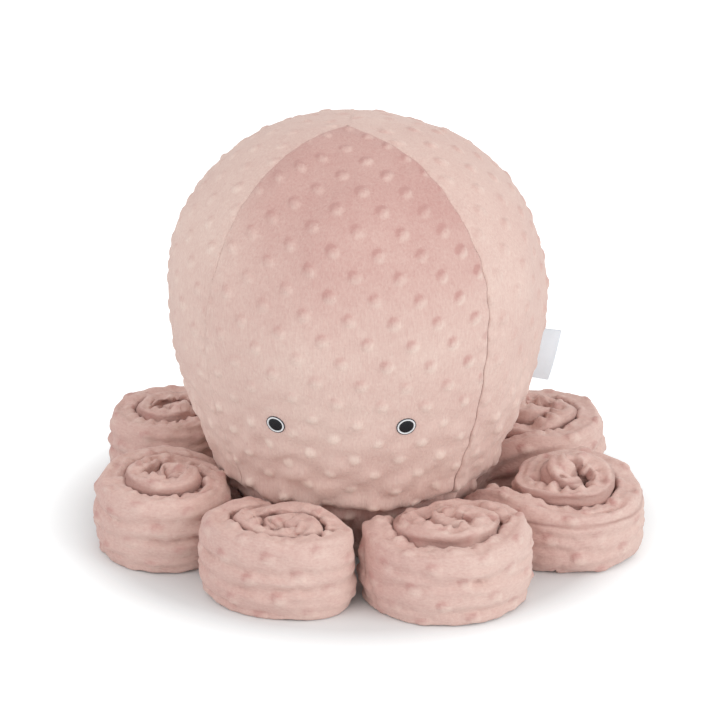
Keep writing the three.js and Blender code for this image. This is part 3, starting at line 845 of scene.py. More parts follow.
class WoundBand:
    """A leg's band as it is wound up, before its cloth settles: its middle line on the floor, its
    ways along and outward, its thickness and height, its room in the coil and its first points."""

    def __init__(self, leg, legs, head):
        plan, wide, tall, at = band_line(leg, legs, head)
        tangent = np.gradient(plan, axis=0)
        tangent /= np.linalg.norm(tangent, axis=1, keepdims=True)
        normal = stacked(tangent[:, 1], -tangent[:, 0])
        across, high = band_section(legs.around)
        start = np.zeros((len(plan), legs.around, 3))
        start[..., :2] = plan[:, None] + normal[:, None] * (across * wide[:, None])[..., None]
        start[..., 2] = high * np.minimum(tall[:, None], roof_height(start, legs, head))
        self.plan, self.wide, self.tall, self.across = plan, wide, tall, across
        self.tangent, self.normal, self.start = tangent, normal, start
        self.inner, self.outer = neighbour_room(plan, normal, tangent, wide, at)

    def thread_lengths(self, legs):
        """Lengths that the threads along the band and round it return to."""
        least_girth, most_bulge, evened_over = 0.150, 0.6, 7
        turn = np.arccos(np.clip((self.tangent[1:] * self.tangent[:-1]).sum(1), -1, 1))
        turn = np.append(turn, turn[-1])
        bend = np.convolve(turn, np.ones(evened_over) / evened_over, "same") / legs.cloth_step
        bulge = np.clip(self.wide / 2 * bend, 0, most_bulge)[:-1, None]
        taken = np.where(self.across > 0, 1, 1 - legs.spare)
        along = legs.cloth_step * (1 + bulge * 2 * self.across * taken)
        loop = np.linalg.norm(np.roll(self.start, -1, 1) - self.start, axis=-1).sum(1)
        ring = (np.maximum(loop, least_girth) * legs.slack / legs.around)[:, None]
        return along, ring

    def hold(self, points, ceiling):
        """Keeps the cloth in its own room in the coil, and the root where it is sewn on."""
        corner, swell, clearance = 0.0050, 0.0008, 0.0002
        pressed, eased, drawn_back, towards_start, sewn = 0.6, 0.5, 0.3, 0.002, 0.5
        off = points[..., :2] - self.plan[:, None]
        aside = (off * self.normal[:, None]).sum(-1)
        along = (off * self.tangent[:, None]).sum(-1).mean(1)
        points[..., 2] -= pressed * np.maximum(points[..., 2] - ceiling[:, None], 0)
        round_off = corner * np.abs(2 * points[..., 2] / ceiling[:, None] - 1) ** 3
        free = (self.wide / 2 + swell)[:, None] - round_off
        inner, outer = self.inner[:, None], self.outer[:, None]
        kept = np.clip(aside, inner + clearance, outer - clearance)
        soft = np.clip(kept, -free, free) - kept
        has_room = np.where(kept > 0, np.isinf(outer), np.isinf(inner))
        kept = kept + soft * has_room * eased
        points[..., :2] += (kept - aside)[..., None] * self.normal[:, None]
        points[..., :2] -= (drawn_back * along[:, None] * self.tangent)[:, None]
        points += (self.start - points) * towards_start
        points[0] += (self.start[0] - points[0]) * sewn

    def room(self, points):
        """How far each point is from the edge of its room in the coil."""
        far_enough = 0.02
        aside = ((points[..., :2] - self.plan[:, None]) * self.normal[:, None]).sum(-1)
        room = np.minimum(self.outer[:, None] - aside, aside - self.inner[:, None])
        return np.minimum(room, far_enough)


def pull_threads(points, along, ring):
    """One pass of the cloth's threads: taut along and round, weak askew, and hard to crease."""
    taut, askew, stiff_along, stiff_round, least_bend = 0.9, 0.08, 0.025, 0.015, 1.85
    slant = np.hypot(along, ring[:-1])
    spring(points, along, taut, rows=1)
    spring(points, ring, taut, columns=1)
    spring(points, slant, askew, rows=1, columns=1)
    spring(points, slant, askew, rows=1, columns=-1)
    spring(points, along[:-1] + along[1:], stiff_along, rows=2, push=True)
    spring(points, least_bend * ring, stiff_round, columns=2, push=True)


def settle_band(leg, legs, head, steps):
    """Settles the cloth of a wound leg: the filling pushes it out, its threads hold their length,
    and it stays clear of the next wrap, of the floor and of the head.

    Returns its points and the room that each has beside it in the coil.
    """
    kept_motion, sag, passes = 0.9, 0.00001, 3
    smoothings, smoothed_share = 2, 0.4
    band = WoundBand(leg, legs, head)
    along, ring = band.thread_lengths(legs)
    points = band.start.copy()
    draw = np.random.default_rng(leg["seed"])
    pleat_band(points, band.normal, legs, draw)
    uneven = 1 + wander(draw, len(points), 25, 0.022) + wander(draw, len(points), 5, 0.014)
    ceiling = band.tall * uneven
    last = points.copy()
    for _ in range(steps):
        moved = points + (points - last) * kept_motion
        last = points
        points = moved + outward(moved) * legs.filling
        points[..., 2] -= sag
        for _ in range(passes):
            pull_threads(points, along, ring)
        band.hold(points, ceiling)
        keep_clear(points, legs, head)
    room = band.room(points)
    for _ in range(smoothings):
        points = points + smoothed_share * (evened(points) - points)
    return points, room


def roof_height(points, legs, head):
    """The height under the head that is free for the legs."""
    clearance, least_share = 0.002, 0.8
    radius = np.hypot(points[..., 0], points[..., 1])
    return np.maximum(underside_height(head, radius) - clearance, legs.root_height * least_share)


def keep_clear(points, legs, head):
    """Keeps the cloth above the floor and under the head."""
    lowest = 0.0004
    points[..., 2] = np.clip(points[..., 2], lowest, roof_height(points, legs, head))


def evened(points):
    """A closed band with each point at the middle of its four neighbours."""
    edge = np.concatenate([points[:1], points, points[-1:]])
    return (edge[:-2] + edge[2:] + np.roll(points, 1, 1) + np.roll(points, -1, 1)) / 4


def hollows(points):
    """How hollow a closed band is at each point: 0 where it is flat or full, 1 in a sharp crease."""
    shallow, deep = 0.0005, 0.0018
    flat = points
    for _ in range(3):
        flat = evened(flat)
    inside = ((flat - points) * outward(points)).sum(-1)
    return smooth_step(shallow, deep, inside)


def refine(values, closed_axis):
    """Doubles a grid of points in both directions on smooth curves."""
    for axis in (0, 1):
        values = np.moveaxis(values, axis, 0)
        if axis == closed_axis:
            padded = np.concatenate([values[-1:], values, values[:2]])
        else:
            before = 2 * values[:1] - values[1:2]
            after = 2 * values[-1:] - values[-2:-1]
            padded = np.concatenate([before, values, after])
        middle = (9 * (padded[1:-2] + padded[2:-1]) - padded[:-3] - padded[3:]) / 16
        full = np.empty((len(values) + len(middle), *values.shape[1:]))
        full[0::2] = values
        full[1::2] = middle
        values = np.moveaxis(full, 0, axis)
    return values


def close_tip(points):
    """Rounds the band's last ring down to its middle, for a closed tip."""
    tip_length, slopes = 0.006, (0.4, 0.8, 1.15, 1.45)
    ring = points[-1]
    middle = ring.mean(0)
    ahead = (points[-1] - points[-4]).mean(0)
    ahead /= np.linalg.norm(ahead)
    rows = [middle + (ring - middle) * math.cos(slope) + ahead * tip_length * math.sin(slope)
            for slope in slopes]
    return np.concatenate([points, rows])


class OCTOPUS_OT_legs(bpy.types.Operator):
    """Rolls up the eight legs: cloth that is settled over its filling, with creases and dots"""

    bl_idname = "octopus.legs"
    bl_label = "Legs"

    def execute(self, context):
        scene = context.scene
        head, legs, cloth = scene.octopus_head, scene.octopus_legs, scene.octopus_cloth
        steps = legs.steps
        for index, (name, leg) in enumerate(LEG_SHARES.items()):
            points, room = settle_band(leg, legs, head, steps)
            cover = cover_leg(name, leg, legs, head, cloth, points, room, index)
            finish_piece(cover, plush(cloth, "leg"), None, "plush", name + "_leg_cover")
            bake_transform(cover)
            filling = fill_leg(name, points)
            finish_piece(filling, wadding(), name + "_leg", "stuffing", name + "_leg_stuffing")
        return {"FINISHED"}


def fold_relief(legs, along, around, index):
    """Relief of a leg's cloth: creases along its outer face, pinches on its inner face, ripples all
    over and gathers where it is sewn on."""
    crease_levels, crease_width, stray = (0.12, 0.24, 0.33), 0.0048, 0.018
    usual, uneven, strongest = 0.75, 0.5, 1.2
    bank_height, bank_width = 0.4, 2.4
    crumpled_least, crumpled_more = 0.7, 0.9
    gathers, gather_depth, gather_reach = 15, 0.0026, 0.045
    outer_face = between((0.02, 0.08, 0.40, 0.46), around)
    inner_face = between((0.44, 0.56, 0.80, 0.95), around)
    draw = np.random.default_rng(index + 90)
    rows = len(along)
    relief = 0
    for level in crease_levels:
        middle = level + wander(draw, rows, 61, stray)[:, None]
        strength = np.clip(usual + wander(draw, rows, 41, uneven), 0, strongest)[:, None]
        off = (around - middle) * LEG_GIRTH / crease_width
        crease = bank_height * np.exp(-(off / bank_width) ** 2) - np.exp(-off ** 2)
        relief = relief + legs.crease_depth * crease * strength * outer_face
    crumpled = crumpled_least + crumpled_more * smooth_step(0.35, 0.65, along / along[-1])
    flow = rippled("leg_flow", stacked(along * 0.2, around * LEG_GIRTH), index)
    pinch = rippled("leg_pinch", stacked(along, around * 0.05), index)
    relief = relief + (flow + pinch * inner_face) * crumpled
    gather = gather_depth * np.cos(TURN * around * gathers + wander(draw, rows, 21, 0.5)[:, None])
    return relief + gather * np.exp(-along / gather_reach)


def cover_leg(name, leg, legs, head, cloth, settled, room, index):
    """The leg's cover: the settled cloth made finer, with soft creases, its seam and its dots."""
    seam_depth, seam_width, seam_shade_width = 0.0012, 0.0020, 0.0013
    touching, apart, touching_share = 0.0006, 0.0030, 0.9
    shaded, lit, left_facing_shade = 1.2, 0.65, 0.6
    shift_along, shift_up, turned = 0.009 * index, 0.005 * index, 0.05 * (index - 4)
    points = refine(settled, 1)
    room = refine(room[..., None], 1)[..., 0]
    rows, columns = points.shape[:2]
    along = np.linspace(0, (len(settled) - 1) * legs.cloth_step, rows)[:, None]
    around = np.linspace(0, 1, columns, endpoint=False)[None]
    normal = outward(points)
    dots = dot_heights(cloth, along, around * LEG_GIRTH, (shift_along, shift_up), turned)
    # Painted shade and highlight round the dots, and painted shade on the sides that face left, away from
    # the key light, with a painted highlight on those that face right.
    brush = brushed_dots(cloth, along, around * LEG_GIRTH, (shift_along, shift_up), turned)
    brush = np.where(brush > 0, brush * shaded, brush * lit) - left_facing_shade * normal[..., 0]
    seam = leg["seam"][0] + (leg["seam"][1] - leg["seam"][0]) * along / along[-1]
    off_seam = np.abs(around - seam) * LEG_GIRTH
    # Painted shade along the leg's seam.
    seam_shade = np.exp(-(off_seam / seam_shade_width) ** 2)
    outside = cloth.dot_height * legs.dot_share * dots
    outside = outside + fold_relief(legs, along, around, index)
    outside = outside - seam_depth * np.exp(-off_seam / seam_width)
    outside = outside + rippled("leg_unevenness", points, index)
    points = points + normal * outside[..., None]
    # Painted shade in the cloth's hollows and where neighbouring wraps press together.
    shade_between_wraps = touching_share * smooth_step(apart, touching, room)
    crease = np.clip(hollows(points) + shade_between_wraps, 0, 1)
    keep_clear(points, legs, head)
    points = close_tip(points)
    tip = np.zeros((len(points) - rows, columns))
    layers = {"dot": dots, "brush": brush, "seam": seam_shade, "crease": crease}
    layers = {key: np.concatenate([layer, tip]) for key, layer in layers.items()}
    return mesh_object(name + "_leg", points, band_faces(len(points), columns), **layers)


def fill_leg(name, settled):
    """The leg's filling, which follows the inside of its cover."""
    inset_aside, inset_up, least_share, most_share = 0.0075, 0.0070, 0.25, 0.9
    middle = settled.mean(1, keepdims=True)
    off = settled - middle
    across = np.hypot(off[..., 0], off[..., 1]).max(1)
    high = np.abs(off[..., 2]).max(1)
    off[..., :2] *= np.clip(1 - inset_aside / across, least_share, most_share)[:, None, None]
    off[..., 2] *= np.clip(1 - inset_up / high, least_share, most_share)[:, None]
    points = (middle + off)[2:-2]
    return mesh_object(name + "_leg_filling", points, band_faces(*points.shape[:2]))


class OCTOPUS_OT_eyes(bpy.types.Operator):
    """Stitches both eyes: a satin pupil, a white ring and a dark outline"""

    bl_idname = "octopus.eyes"
    bl_label = "Eyes"

    def execute(self, context):
        head, eye = context.scene.octopus_head, context.scene.octopus_eye
        threads = {"pupil": "black_thread", "white": "white_thread", "outline": "outline_thread"}
        for side, place in eye_places(head, eye).items():
            for ring, thread in threads.items():
                node = f"{side}_eye_{ring}"
                if ring == "pupil":
                    item = stitch_pupil(node, head, eye, place)
                else:
                    inside = eye.pupil if ring == "white" else eye.white
                    item = stitch_ring(node, head, eye, place, inside / 2, getattr(eye, ring) / 2)
                finish_piece(item, satin(thread), "head", thread, node)
        return {"FINISHED"}


def lay_on_head(item, head, middle, height):
    """Bends a flat piece of stitching, modelled round the origin, onto the face at an eye."""
    _, out = head_place_at(head, height, middle, 0)
    radius = float(jowl_radius_at(head, height))
    up_share = math.hypot(out.x, out.y)
    for vertex in item.data.vertices:
        high = height + vertex.co.y * up_share
        vertex.co, _ = head_place_at(head, high, middle + vertex.co.x / radius, vertex.co.z)
    item.data.update()
    item.matrix_world = Matrix.Identity(4)
    make_active(item)
    bpy.ops.object.shade_smooth()


def stitch_pupil(name, head, eye, place):
    """A domed disc of satin stitches that lie side by side."""
    lift, dome_height, thread_height, wall = 0.0004, 0.0009, 0.00022, 0.0008
    deselect_all()
    stitches = int(eye.pupil / eye.stitch)
    bpy.ops.mesh.primitive_grid_add(x_subdivisions=stitches * 4, y_subdivisions=40, size=eye.pupil)
    item = bpy.context.object
    item.name = name + "_stitching"
    radius = eye.pupil / 2
    for vertex in item.data.vertices:
        x, y = vertex.co.x / radius, vertex.co.y / radius
        round_x = x * math.sqrt(1 - y * y / 2)
        round_y = y * math.sqrt(1 - x * x / 2)
        edge = min(1.0, math.hypot(round_x, round_y))
        thread = abs(math.sin(math.pi * vertex.co.x / eye.stitch))
        dome = dome_height * math.sqrt(max(0.0, 1 - edge ** 4))
        dome += thread_height * thread * (1 - edge ** 6)
        vertex.co = Vector((round_x * radius, round_y * radius, lift + dome))
    apply_modifier(item, "Wall", "SOLIDIFY", thickness=wall, offset=-1)
    lay_on_head(item, head, *place)
    return item


def stitch_ring(name, head, eye, place, inside, outside):
    """A ring of short satin stitches laid across it."""
    lift, thread_height = 0.0003, 0.00016
    rise = 0.0007 if name.endswith("white") else 0.0005
    deselect_all()
    middle, half = (inside + outside) / 2, (outside - inside) / 2
    stitches = int(TURN * middle / eye.stitch)
    bpy.ops.mesh.primitive_torus_add(
        major_segments=stitches * 3, minor_segments=10, major_radius=middle, minor_radius=half)
    item = bpy.context.object
    item.name = name + "_stitching"
    for vertex in item.data.vertices:
        angle = math.atan2(vertex.co.y, vertex.co.x)
        thread = abs(math.sin(angle * stitches / 2))
        height = vertex.co.z / half
        vertex.co.z = lift + rise * height + thread_height * thread * max(height, 0)
    lay_on_head(item, head, *place)
    return item


def folded_place(run, straight, half):
    """How far out and how far to the side a place of the label's tape lies once it is folded."""
    whole = 2 * straight + math.pi * half
    if run < straight:
        return run, half
    if run > whole - straight:
        return whole - run, -half
    turn = (run - straight) / half
    return straight + half * math.sin(turn), half * math.cos(turn)


class OCTOPUS_OT_label(bpy.types.Operator):
    """Folds the bare label's tape and sews it into its seam"""

    bl_idname = "octopus.label"
    bl_label = "Label"

    def execute(self, context):
        head, label = context.scene.octopus_head, context.scene.octopus_label
        low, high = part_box("seam_label")
        length, middle = high.z - low.z, (low.z + high.z) / 2
        reach, edge_gap, sunk, curl, droop = 0.0280, 0.001, 0.0006, 0.0016, 0.25
        half = label.fold / 2
        straight = reach - half
        whole = 2 * straight + math.pi * half
        angle = head.face_turn + label.turn
        across = Vector((math.cos(angle), math.sin(angle), 0))
        out = Vector((math.sin(angle), -math.cos(angle), 0))
        deselect_all()
        bpy.ops.mesh.primitive_grid_add(x_subdivisions=44, y_subdivisions=40, size=1)
        item = bpy.context.object
        item.name = "seam_label_tape"
        for vertex in item.data.vertices:
            along, side = folded_place((vertex.co.x + 0.5) * whole, straight, half)
            up = vertex.co.y * (length - edge_gap)
            place, _ = head_place_at(head, middle + up, angle, 0)
            side += curl * math.sin(up / length * math.pi) * (along / reach) ** 2
            place = Vector((place.x, place.y, middle + up - droop * along))
            vertex.co = place + out * (along - sunk) + across * side
        item.matrix_world = Matrix.Identity(4)
        apply_modifier(item, "Wall", "SOLIDIFY", thickness=label.thickness, offset=0)
        make_active(item)
        bpy.ops.object.shade_smooth_by_angle(angle=math.radians(40))
        finish_piece(item, tape(label), "label_flap", "label_tape", "seam_label")
        return {"FINISHED"}


def group_tree(name, inputs, outputs):
    """A new shader group with these named sockets, or None if it is there already."""
    if name in bpy.data.node_groups:
        return None
    tree = bpy.data.node_groups.new(name, "ShaderNodeTree")
    for socket, kind, value in inputs:
        made = tree.interface.new_socket(socket, in_out="INPUT", socket_type=kind)
        made.default_value = value
    for socket, kind in outputs:
        tree.interface.new_socket(socket, in_out="OUTPUT", socket_type=kind)
    return tree


def set_inputs(node, values):
    """Sets inputs of a node by their names."""
    for socket, value in values.items():
        node.inputs[socket].default_value = value


def noise(tree, where, scale, detail=2.0, roughness=0.5):
    """A noise texture read at these coordinates; its Fac output."""
    node = tree.nodes.new("ShaderNodeTexNoise")
    set_inputs(node, {"Scale": scale, "Detail": detail, "Roughness": roughness})
    tree.links.new(where, node.inputs["Vector"])
    return node.outputs["Fac"]


def add_bump(tree, height, distance, strength, normal):
    """Raises the surface by a height output, up to this distance, and feeds a Normal input."""
    node = tree.nodes.new("ShaderNodeBump")
    set_inputs(node, {"Distance": distance, "Strength": strength})
    tree.links.new(height, node.inputs["Height"])
    tree.links.new(node.outputs["Normal"], normal)


def spread(tree, value, low, high, to_low=0.0, to_high=1.0):
    """Maps a value's range onto another, clamped."""
    node = tree.nodes.new("ShaderNodeMapRange")
    set_inputs(node, {"From Min": low, "From Max": high, "To Min": to_low, "To Max": to_high})
    tree.links.new(value, node.inputs["Value"])
    return node.outputs["Result"]


def combine(tree, operation, first, second):
    """The result of one operation on two values, each an output or a number."""
    node = tree.nodes.new("ShaderNodeMath")
    node.operation = operation
    for socket, value in zip(node.inputs, (first, second)):
        if isinstance(value, (int, float)):
            socket.default_value = value
        else:
            tree.links.new(value, socket)
    return node.outputs[0]


def blend_colours(tree, factor, first, second):
    """Mixes two colours, each an output or a tuple."""
    node = tree.nodes.new("ShaderNodeMix")
    node.data_type = "RGBA"
    node.clamp_factor = False
    tree.links.new(factor, node.inputs["Factor"])
    for socket, value in zip((node.inputs[6], node.inputs[7]), (first, second)):
        if isinstance(value, tuple):
            socket.default_value = value
        else:
            tree.links.new(value, socket)
    return node.outputs[2]


def any_ray(tree, *kinds):
    """1 for light rays of any of these kinds and 0 for the others."""
    rays = tree.nodes.new("ShaderNodeLightPath")
    seen = rays.outputs[kinds[0]]
    for kind in kinds[1:]:
        seen = combine(tree, "MAXIMUM", seen, rays.outputs[kind])
    return seen


def object_place(tree):
    """Coordinates on the object, in metres."""
    return tree.nodes.new("ShaderNodeTexCoord").outputs["Object"]


def stretched(tree, scale):
    """Coordinates on the object, stretched by these factors."""
    mapping = tree.nodes.new("ShaderNodeMapping")
    set_inputs(mapping, {"Scale": scale})
    tree.links.new(object_place(tree), mapping.inputs["Vector"])
    return mapping.outputs["Vector"]


def read_layer(tree, name):
    """One of the values that are kept at the mesh's points."""
    node = tree.nodes.new("ShaderNodeAttribute")
    node.attribute_name = name
    return node.outputs["Fac"]


def nap_group():
    """Short pile: patches brushed light or dark, paler dots, painted shade and highlight from the mesh's
    layers, painted shade in its seams and creases, fine fibres and their bump.
    """
    name = "octopus_nap"
    tree = group_tree(
        name,
        [("Light", "NodeSocketColor", (1, 1, 1, 1)), ("Shade", "NodeSocketColor", (0.5, 0.5, 0.5, 1)),
         ("Deep", "NodeSocketColor", (0.3, 0.15, 0.13, 1)), ("Tone and shade", "NodeSocketFloat", 0.5),
         ("Dots", "NodeSocketFloat", 0.5), ("Grain", "NodeSocketVector", (0, 0, 0))],
        [("Color", "NodeSocketColor"), ("Roughness", "NodeSocketFloat"), ("Normal", "NodeSocketVector")])
    if tree is None:
        return bpy.data.node_groups[name]
    entry = tree.nodes.new("NodeGroupInput")
    leave = tree.nodes.new("NodeGroupOutput")
    plain = stretched(tree, (1, 1, 1))
    patches = noise(tree, plain, scale=16.0, detail=3.0, roughness=0.55)
    mottle = noise(tree, plain, scale=75.0, detail=3.0, roughness=0.6)
    fibres = noise(tree, entry.outputs["Grain"], scale=780.0, roughness=0.6)
    tufts = noise(tree, plain, scale=420.0, detail=3.0, roughness=0.65)
    # The layers besides dot hold painted shade and highlight: round the dots, under the hem, on the legs'
    # left-facing sides, along the seams, in the hollows and between touching wraps.
    dot, brush, seam, crease = [read_layer(tree, key) for key in ("dot", "brush", "seam", "crease")]
    brushed = entry.outputs["Tone and shade"]
    for grain, share in ((patches, 0.18), (mottle, 0.07), (tufts, 0.15), (fibres, 0.20)):
        brushed = combine(tree, "ADD", brushed, spread(tree, grain, 0.3, 0.7, -share, share))
    paler_dots, lightest, darkest, painted_shade_strength = 0.1, -0.35, 1.5, 0.6
    # Painted shade and highlight round the dots, less the dots' paler tops.
    relief = combine(tree, "SUBTRACT", brush, combine(tree, "MULTIPLY", dot, paler_dots))
    brushed = combine(tree, "ADD", brushed, combine(tree, "MULTIPLY", relief, entry.outputs["Dots"]))
    brushed = spread(tree, brushed, lightest, darkest, lightest, darkest)
    colour = blend_colours(tree, brushed, entry.outputs["Light"], entry.outputs["Shade"])
    # Painted shade: seams, hollows and touching wraps darkened towards the deep shade colour.
    painted_seam_and_crease_shade = combine(tree, "MULTIPLY", combine(tree, "MAXIMUM", seam, crease), painted_shade_strength)
    colour = blend_colours(tree, painted_seam_and_crease_shade, colour, entry.outputs["Deep"])
    tree.links.new(colour, leave.inputs["Color"])
    tree.links.new(spread(tree, fibres, 0.2, 0.8, 0.82, 0.98), leave.inputs["Roughness"])
    pile = combine(tree, "ADD", fibres, tufts)
    add_bump(tree, pile, distance=0.0007, strength=0.75, normal=leave.inputs["Normal"])
    return tree


def new_material(name):
    """A material with its node tree and its Principled shader, or None if it is there already."""
    if name in bpy.data.materials:
        return None, None, None
    material = bpy.data.materials.new(name)
    material.use_nodes = True
    tree = material.node_tree
    return material, tree, tree.nodes["Principled BSDF"]


def brushed_forehead(tree):
    """Darker towards the top of the face panel, but not on its left: partly the pile lying away from the
    eye, partly painted shade.
    """
    widest, top, least, most = 0.205, 0.305, 0.04, 0.84
    left_edge, inward = -0.120, -0.065
    parts = tree.nodes.new("ShaderNodeSeparateXYZ")
    tree.links.new(object_place(tree), parts.inputs["Vector"])
    higher = spread(tree, parts.outputs["Z"], widest, top, least, most)
    aside = spread(tree, parts.outputs["X"], left_edge, inward)
    return combine(tree, "MULTIPLY", higher, aside)


def plush(cloth, nap):
    """Dotted plush; nap says how it is brushed on the face, on the other panels or on the legs."""
    name = "plush_" + nap
    material, tree, shader = new_material(name)
    if material is None:
        return bpy.data.materials[name]
    group = tree.nodes.new("ShaderNodeGroup")
    group.node_tree = nap_group()
    brushed, dots = NAP_SHARES[nap]
    set_inputs(group, {"Light": (*cloth.light, 1), "Shade": (*cloth.shade, 1), "Deep": (*cloth.deep, 1),
                       "Tone and shade": brushed, "Dots": dots})
    # Darker towards the top of the face: partly the pile's lie, partly painted shade.
    if nap == "face":
        darker = brushed_forehead(tree)
        tree.links.new(combine(tree, "ADD", darker, brushed), group.inputs["Tone and shade"])
    grain = stretched(tree, (0.35, 0.35, 1) if nap == "leg" else (1, 1, 0.16))
    tree.links.new(grain, group.inputs["Grain"])
    for socket in ("Color", "Roughness", "Normal"):
        target = "Base Color" if socket == "Color" else socket
        tree.links.new(group.outputs[socket], shader.inputs[target])
    set_inputs(shader, {"Sheen Weight": 0.35, "Sheen Roughness": 0.45,
                        "Sheen Tint": (1.0, 0.86, 0.80, 1), "Specular IOR Level": 0.2})
    return material


def wadding():
    """Loose white polyester filling."""
    material, tree, shader = new_material("white_wadding")
    if material is None:
        return bpy.data.materials["white_wadding"]
    bright, dull = (0.93, 0.92, 0.90, 1), (0.78, 0.77, 0.75, 1)
    fluff = noise(tree, stretched(tree, (1, 1, 1)), scale=260.0, detail=5.0, roughness=0.75)
    tint = blend_colours(tree, spread(tree, fluff, 0.3, 0.7), bright, dull)
    tree.links.new(tint, shader.inputs["Base Color"])
    set_inputs(shader, {"Roughness": 1.0})
    add_bump(tree, fluff, distance=0.002, strength=1.0, normal=shader.inputs["Normal"])
    return material


def satin(thread):
    """Embroidery thread: glossy along its fine twisted fibres."""
    colours = {"black_thread": ((0.004, 0.004, 0.006, 1), (0.011, 0.011, 0.015, 1)),
               "white_thread": ((0.95, 0.95, 0.96, 1), (0.84, 0.85, 0.87, 1)),
               "outline_thread": ((0.020, 0.019, 0.027, 1), (0.050, 0.048, 0.064, 1))}
    name = "satin_" + thread
    material, tree, shader = new_material(name)
    if material is None:
        return bpy.data.materials[name]
    twist = noise(tree, stretched(tree, (1, 1, 0.3)), scale=3200.0)
    tint = blend_colours(tree, spread(tree, twist, 0.35, 0.65), *colours[thread])
    tree.links.new(tint, shader.inputs["Base Color"])
    tree.links.new(spread(tree, twist, 0.3, 0.7, 0.45, 0.65), shader.inputs["Roughness"])
    set_inputs(shader, {"Specular IOR Level": 0.3})
    add_bump(tree, twist, distance=0.0002, strength=0.5, normal=shader.inputs["Normal"])
    return material


def tape(label):
    """Bare white woven tape."""
    material, tree, shader = new_material("white_tape")
    if material is None:
        return bpy.data.materials["white_tape"]
    bright, dull = (0.90, 0.95, 1.0, 1), (0.82, 0.88, 0.93, 1)
    weave = tree.nodes.new("ShaderNodeTexWave")
    weave.bands_direction = "Z"
    set_inputs(weave, {"Scale": math.pi / (label.thread * TURN), "Distortion": 0.4})
    tree.links.new(object_place(tree), weave.inputs["Vector"])
    mottle = noise(tree, stretched(tree, (1, 1, 1)), scale=60.0)
    tint = blend_colours(tree, spread(tree, mottle, 0.3, 0.7), bright, dull)
    tree.links.new(tint, shader.inputs["Base Color"])
    tree.links.new(spread(tree, weave.outputs["Fac"], 0, 1, 0.50, 0.66), shader.inputs["Roughness"])
    threads = weave.outputs["Fac"]
    add_bump(tree, threads, distance=0.00012, strength=0.6, normal=shader.inputs["Normal"])
    return material


class OCTOPUS_OT_stage(bpy.types.Operator):
    """Sets up the pale floor, the soft lights, the even sky and the camera"""

    bl_idname = "octopus.stage"
    bl_label = "Stage"

    def execute(self, context):
        stage = context.scene.octopus_stage
        place_camera(context.scene, stage)
        lay_floor()
        light_sky(context.scene, stage)
        add_light("key_light", place=(2.3, -1.8, 1.3), size=1.8, power=stage.key)
        add_light("fill_light", place=(-2.2, -1.6, 1.6), size=2.4, power=stage.fill)
        context.scene.view_settings.view_transform = "Standard"
        return {"FINISHED"}


def place_camera(scene, stage):
    """Puts the camera on its line of sight, lifted square to it so that the toy sits low in view."""
    camera = bpy.data.cameras.new("camera")
    camera.lens = stage.lens
    item = bpy.data.objects.new("camera", camera)
    scene.collection.objects.link(item)
    ahead = Vector((0, math.cos(stage.elevation), -math.sin(stage.elevation)))
    up = Vector((0, math.sin(stage.elevation), math.cos(stage.elevation)))
    item.location = -stage.distance * ahead + Vector((stage.aside, 0, 0)) + stage.raised * up
    item.rotation_euler = (math.pi / 2 - stage.elevation, 0, 0)
    scene.camera = item


def lay_floor():
    """A pale floor that keeps the toy's shadow and shows white to the camera further out."""
    width, toy_reach, clear_reach, glow = 14, 0.212, 0.275, 0.5
    deselect_all()
    bpy.ops.mesh.primitive_plane_add(size=width)
    item = bpy.context.object
    item.name = "floor"
    material, tree, shader = new_material("pale_floor")
    set_inputs(shader, {"Base Color": (0.84, 0.87, 0.88, 1), "Roughness": 0.9,
                        "Emission Color": (1, 1, 1, 1)})
    seen = any_ray(tree, "Is Camera Ray", "Is Glossy Ray")
    away = tree.nodes.new("ShaderNodeVectorMath")
    away.operation = "LENGTH"
    tree.links.new(object_place(tree), away.inputs[0])
    clear = spread(tree, away.outputs["Value"], toy_reach, clear_reach, 0, glow)
    tree.links.new(combine(tree, "MULTIPLY", seen, clear), shader.inputs["Emission Strength"])
    item.data.materials.append(material)


def light_sky(scene, stage):
    """An even sky that shows white behind the toy and in its reflections."""
    world = bpy.data.worlds.new("sky")
    world.use_nodes = True
    tree = world.node_tree
    back = tree.nodes["Background"]
    set_inputs(back, {"Color": (1, 1, 1, 1)})
    seen = any_ray(tree, "Is Camera Ray", "Is Glossy Ray", "Is Transmission Ray")
    tree.links.new(spread(tree, seen, 0, 1, stage.sky, 1.0), back.inputs["Strength"])
    scene.world = world


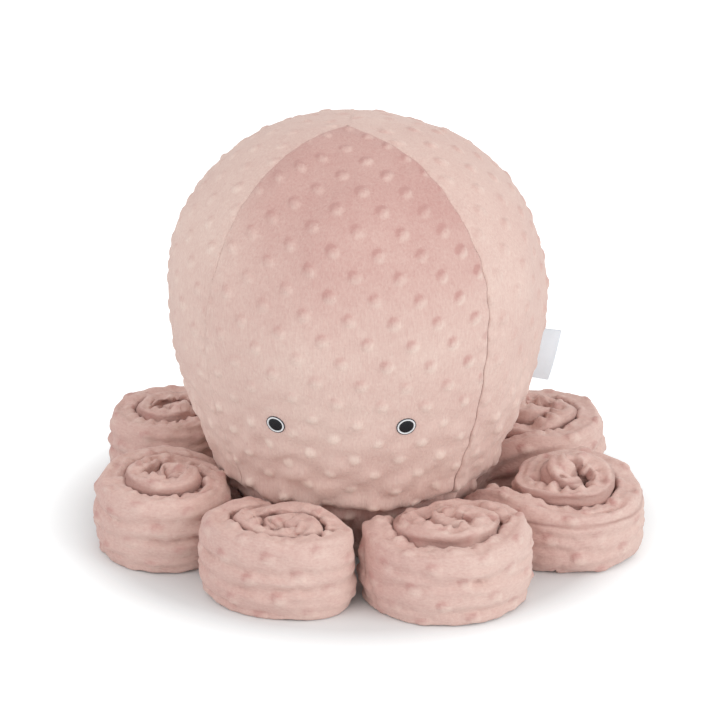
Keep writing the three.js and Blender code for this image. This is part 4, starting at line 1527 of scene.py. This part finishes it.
def add_light(name, place, size, power):
    """A square soft light that faces the toy."""
    middle = Vector((0, 0, 0.12))
    lamp = bpy.data.lights.new(name, "AREA")
    lamp.energy = power
    lamp.size = size
    item = bpy.data.objects.new(name, lamp)
    bpy.context.scene.collection.objects.link(item)
    item.location = place
    aim = middle - item.location
    item.rotation_euler = aim.to_track_quat("-Z", "Y").to_euler()


class OCTOPUS_PT_sidebar(bpy.types.Panel):
    """Lists the toy's sizes and the steps that sew it"""

    bl_idname = "OCTOPUS_PT_sidebar"
    bl_label = "Plush Octopus"
    bl_space_type = "VIEW_3D"
    bl_region_type = "UI"
    bl_category = "Octopus"

    def draw(self, context):
        for operator in OPERATORS:
            self.layout.operator(operator.bl_idname)
        for name in SETTINGS:
            box = self.layout.box()
            settings = getattr(context.scene, name)
            for key in settings.__annotations__:
                box.prop(settings, key)


SETTINGS = {
    "octopus_head": OctopusHeadSettings,
    "octopus_cloth": OctopusClothSettings,
    "octopus_legs": OctopusLegSettings,
    "octopus_eye": OctopusEyeSettings,
    "octopus_label": OctopusLabelSettings,
    "octopus_stage": OctopusStageSettings,
}
OPERATORS = (
    OCTOPUS_OT_stage,
    OCTOPUS_OT_head_panels,
    OCTOPUS_OT_base_panel,
    OCTOPUS_OT_head_filling,
    OCTOPUS_OT_eyes,
    OCTOPUS_OT_label,
    OCTOPUS_OT_legs,
)


def register():
    """Registers the settings, the operators and the panel."""
    for name, settings in SETTINGS.items():
        bpy.utils.register_class(settings)
        setattr(bpy.types.Scene, name, PointerProperty(type=settings))
    for operator in OPERATORS:
        bpy.utils.register_class(operator)
    bpy.utils.register_class(OCTOPUS_PT_sidebar)


def unregister():
    """Takes away all that register added."""
    bpy.utils.unregister_class(OCTOPUS_PT_sidebar)
    for operator in reversed(OPERATORS):
        bpy.utils.unregister_class(operator)
    for name, settings in reversed(SETTINGS.items()):
        delattr(bpy.types.Scene, name)
        bpy.utils.unregister_class(settings)


def main():
    """Sews the toy."""
    register()
    bpy.ops.octopus.stage()
    bpy.ops.octopus.head_panels()
    bpy.ops.octopus.base_panel()
    bpy.ops.octopus.head_filling()
    bpy.ops.octopus.eyes()
    bpy.ops.octopus.label()
    bpy.ops.octopus.legs()


if __name__ == "__main__":
    main()
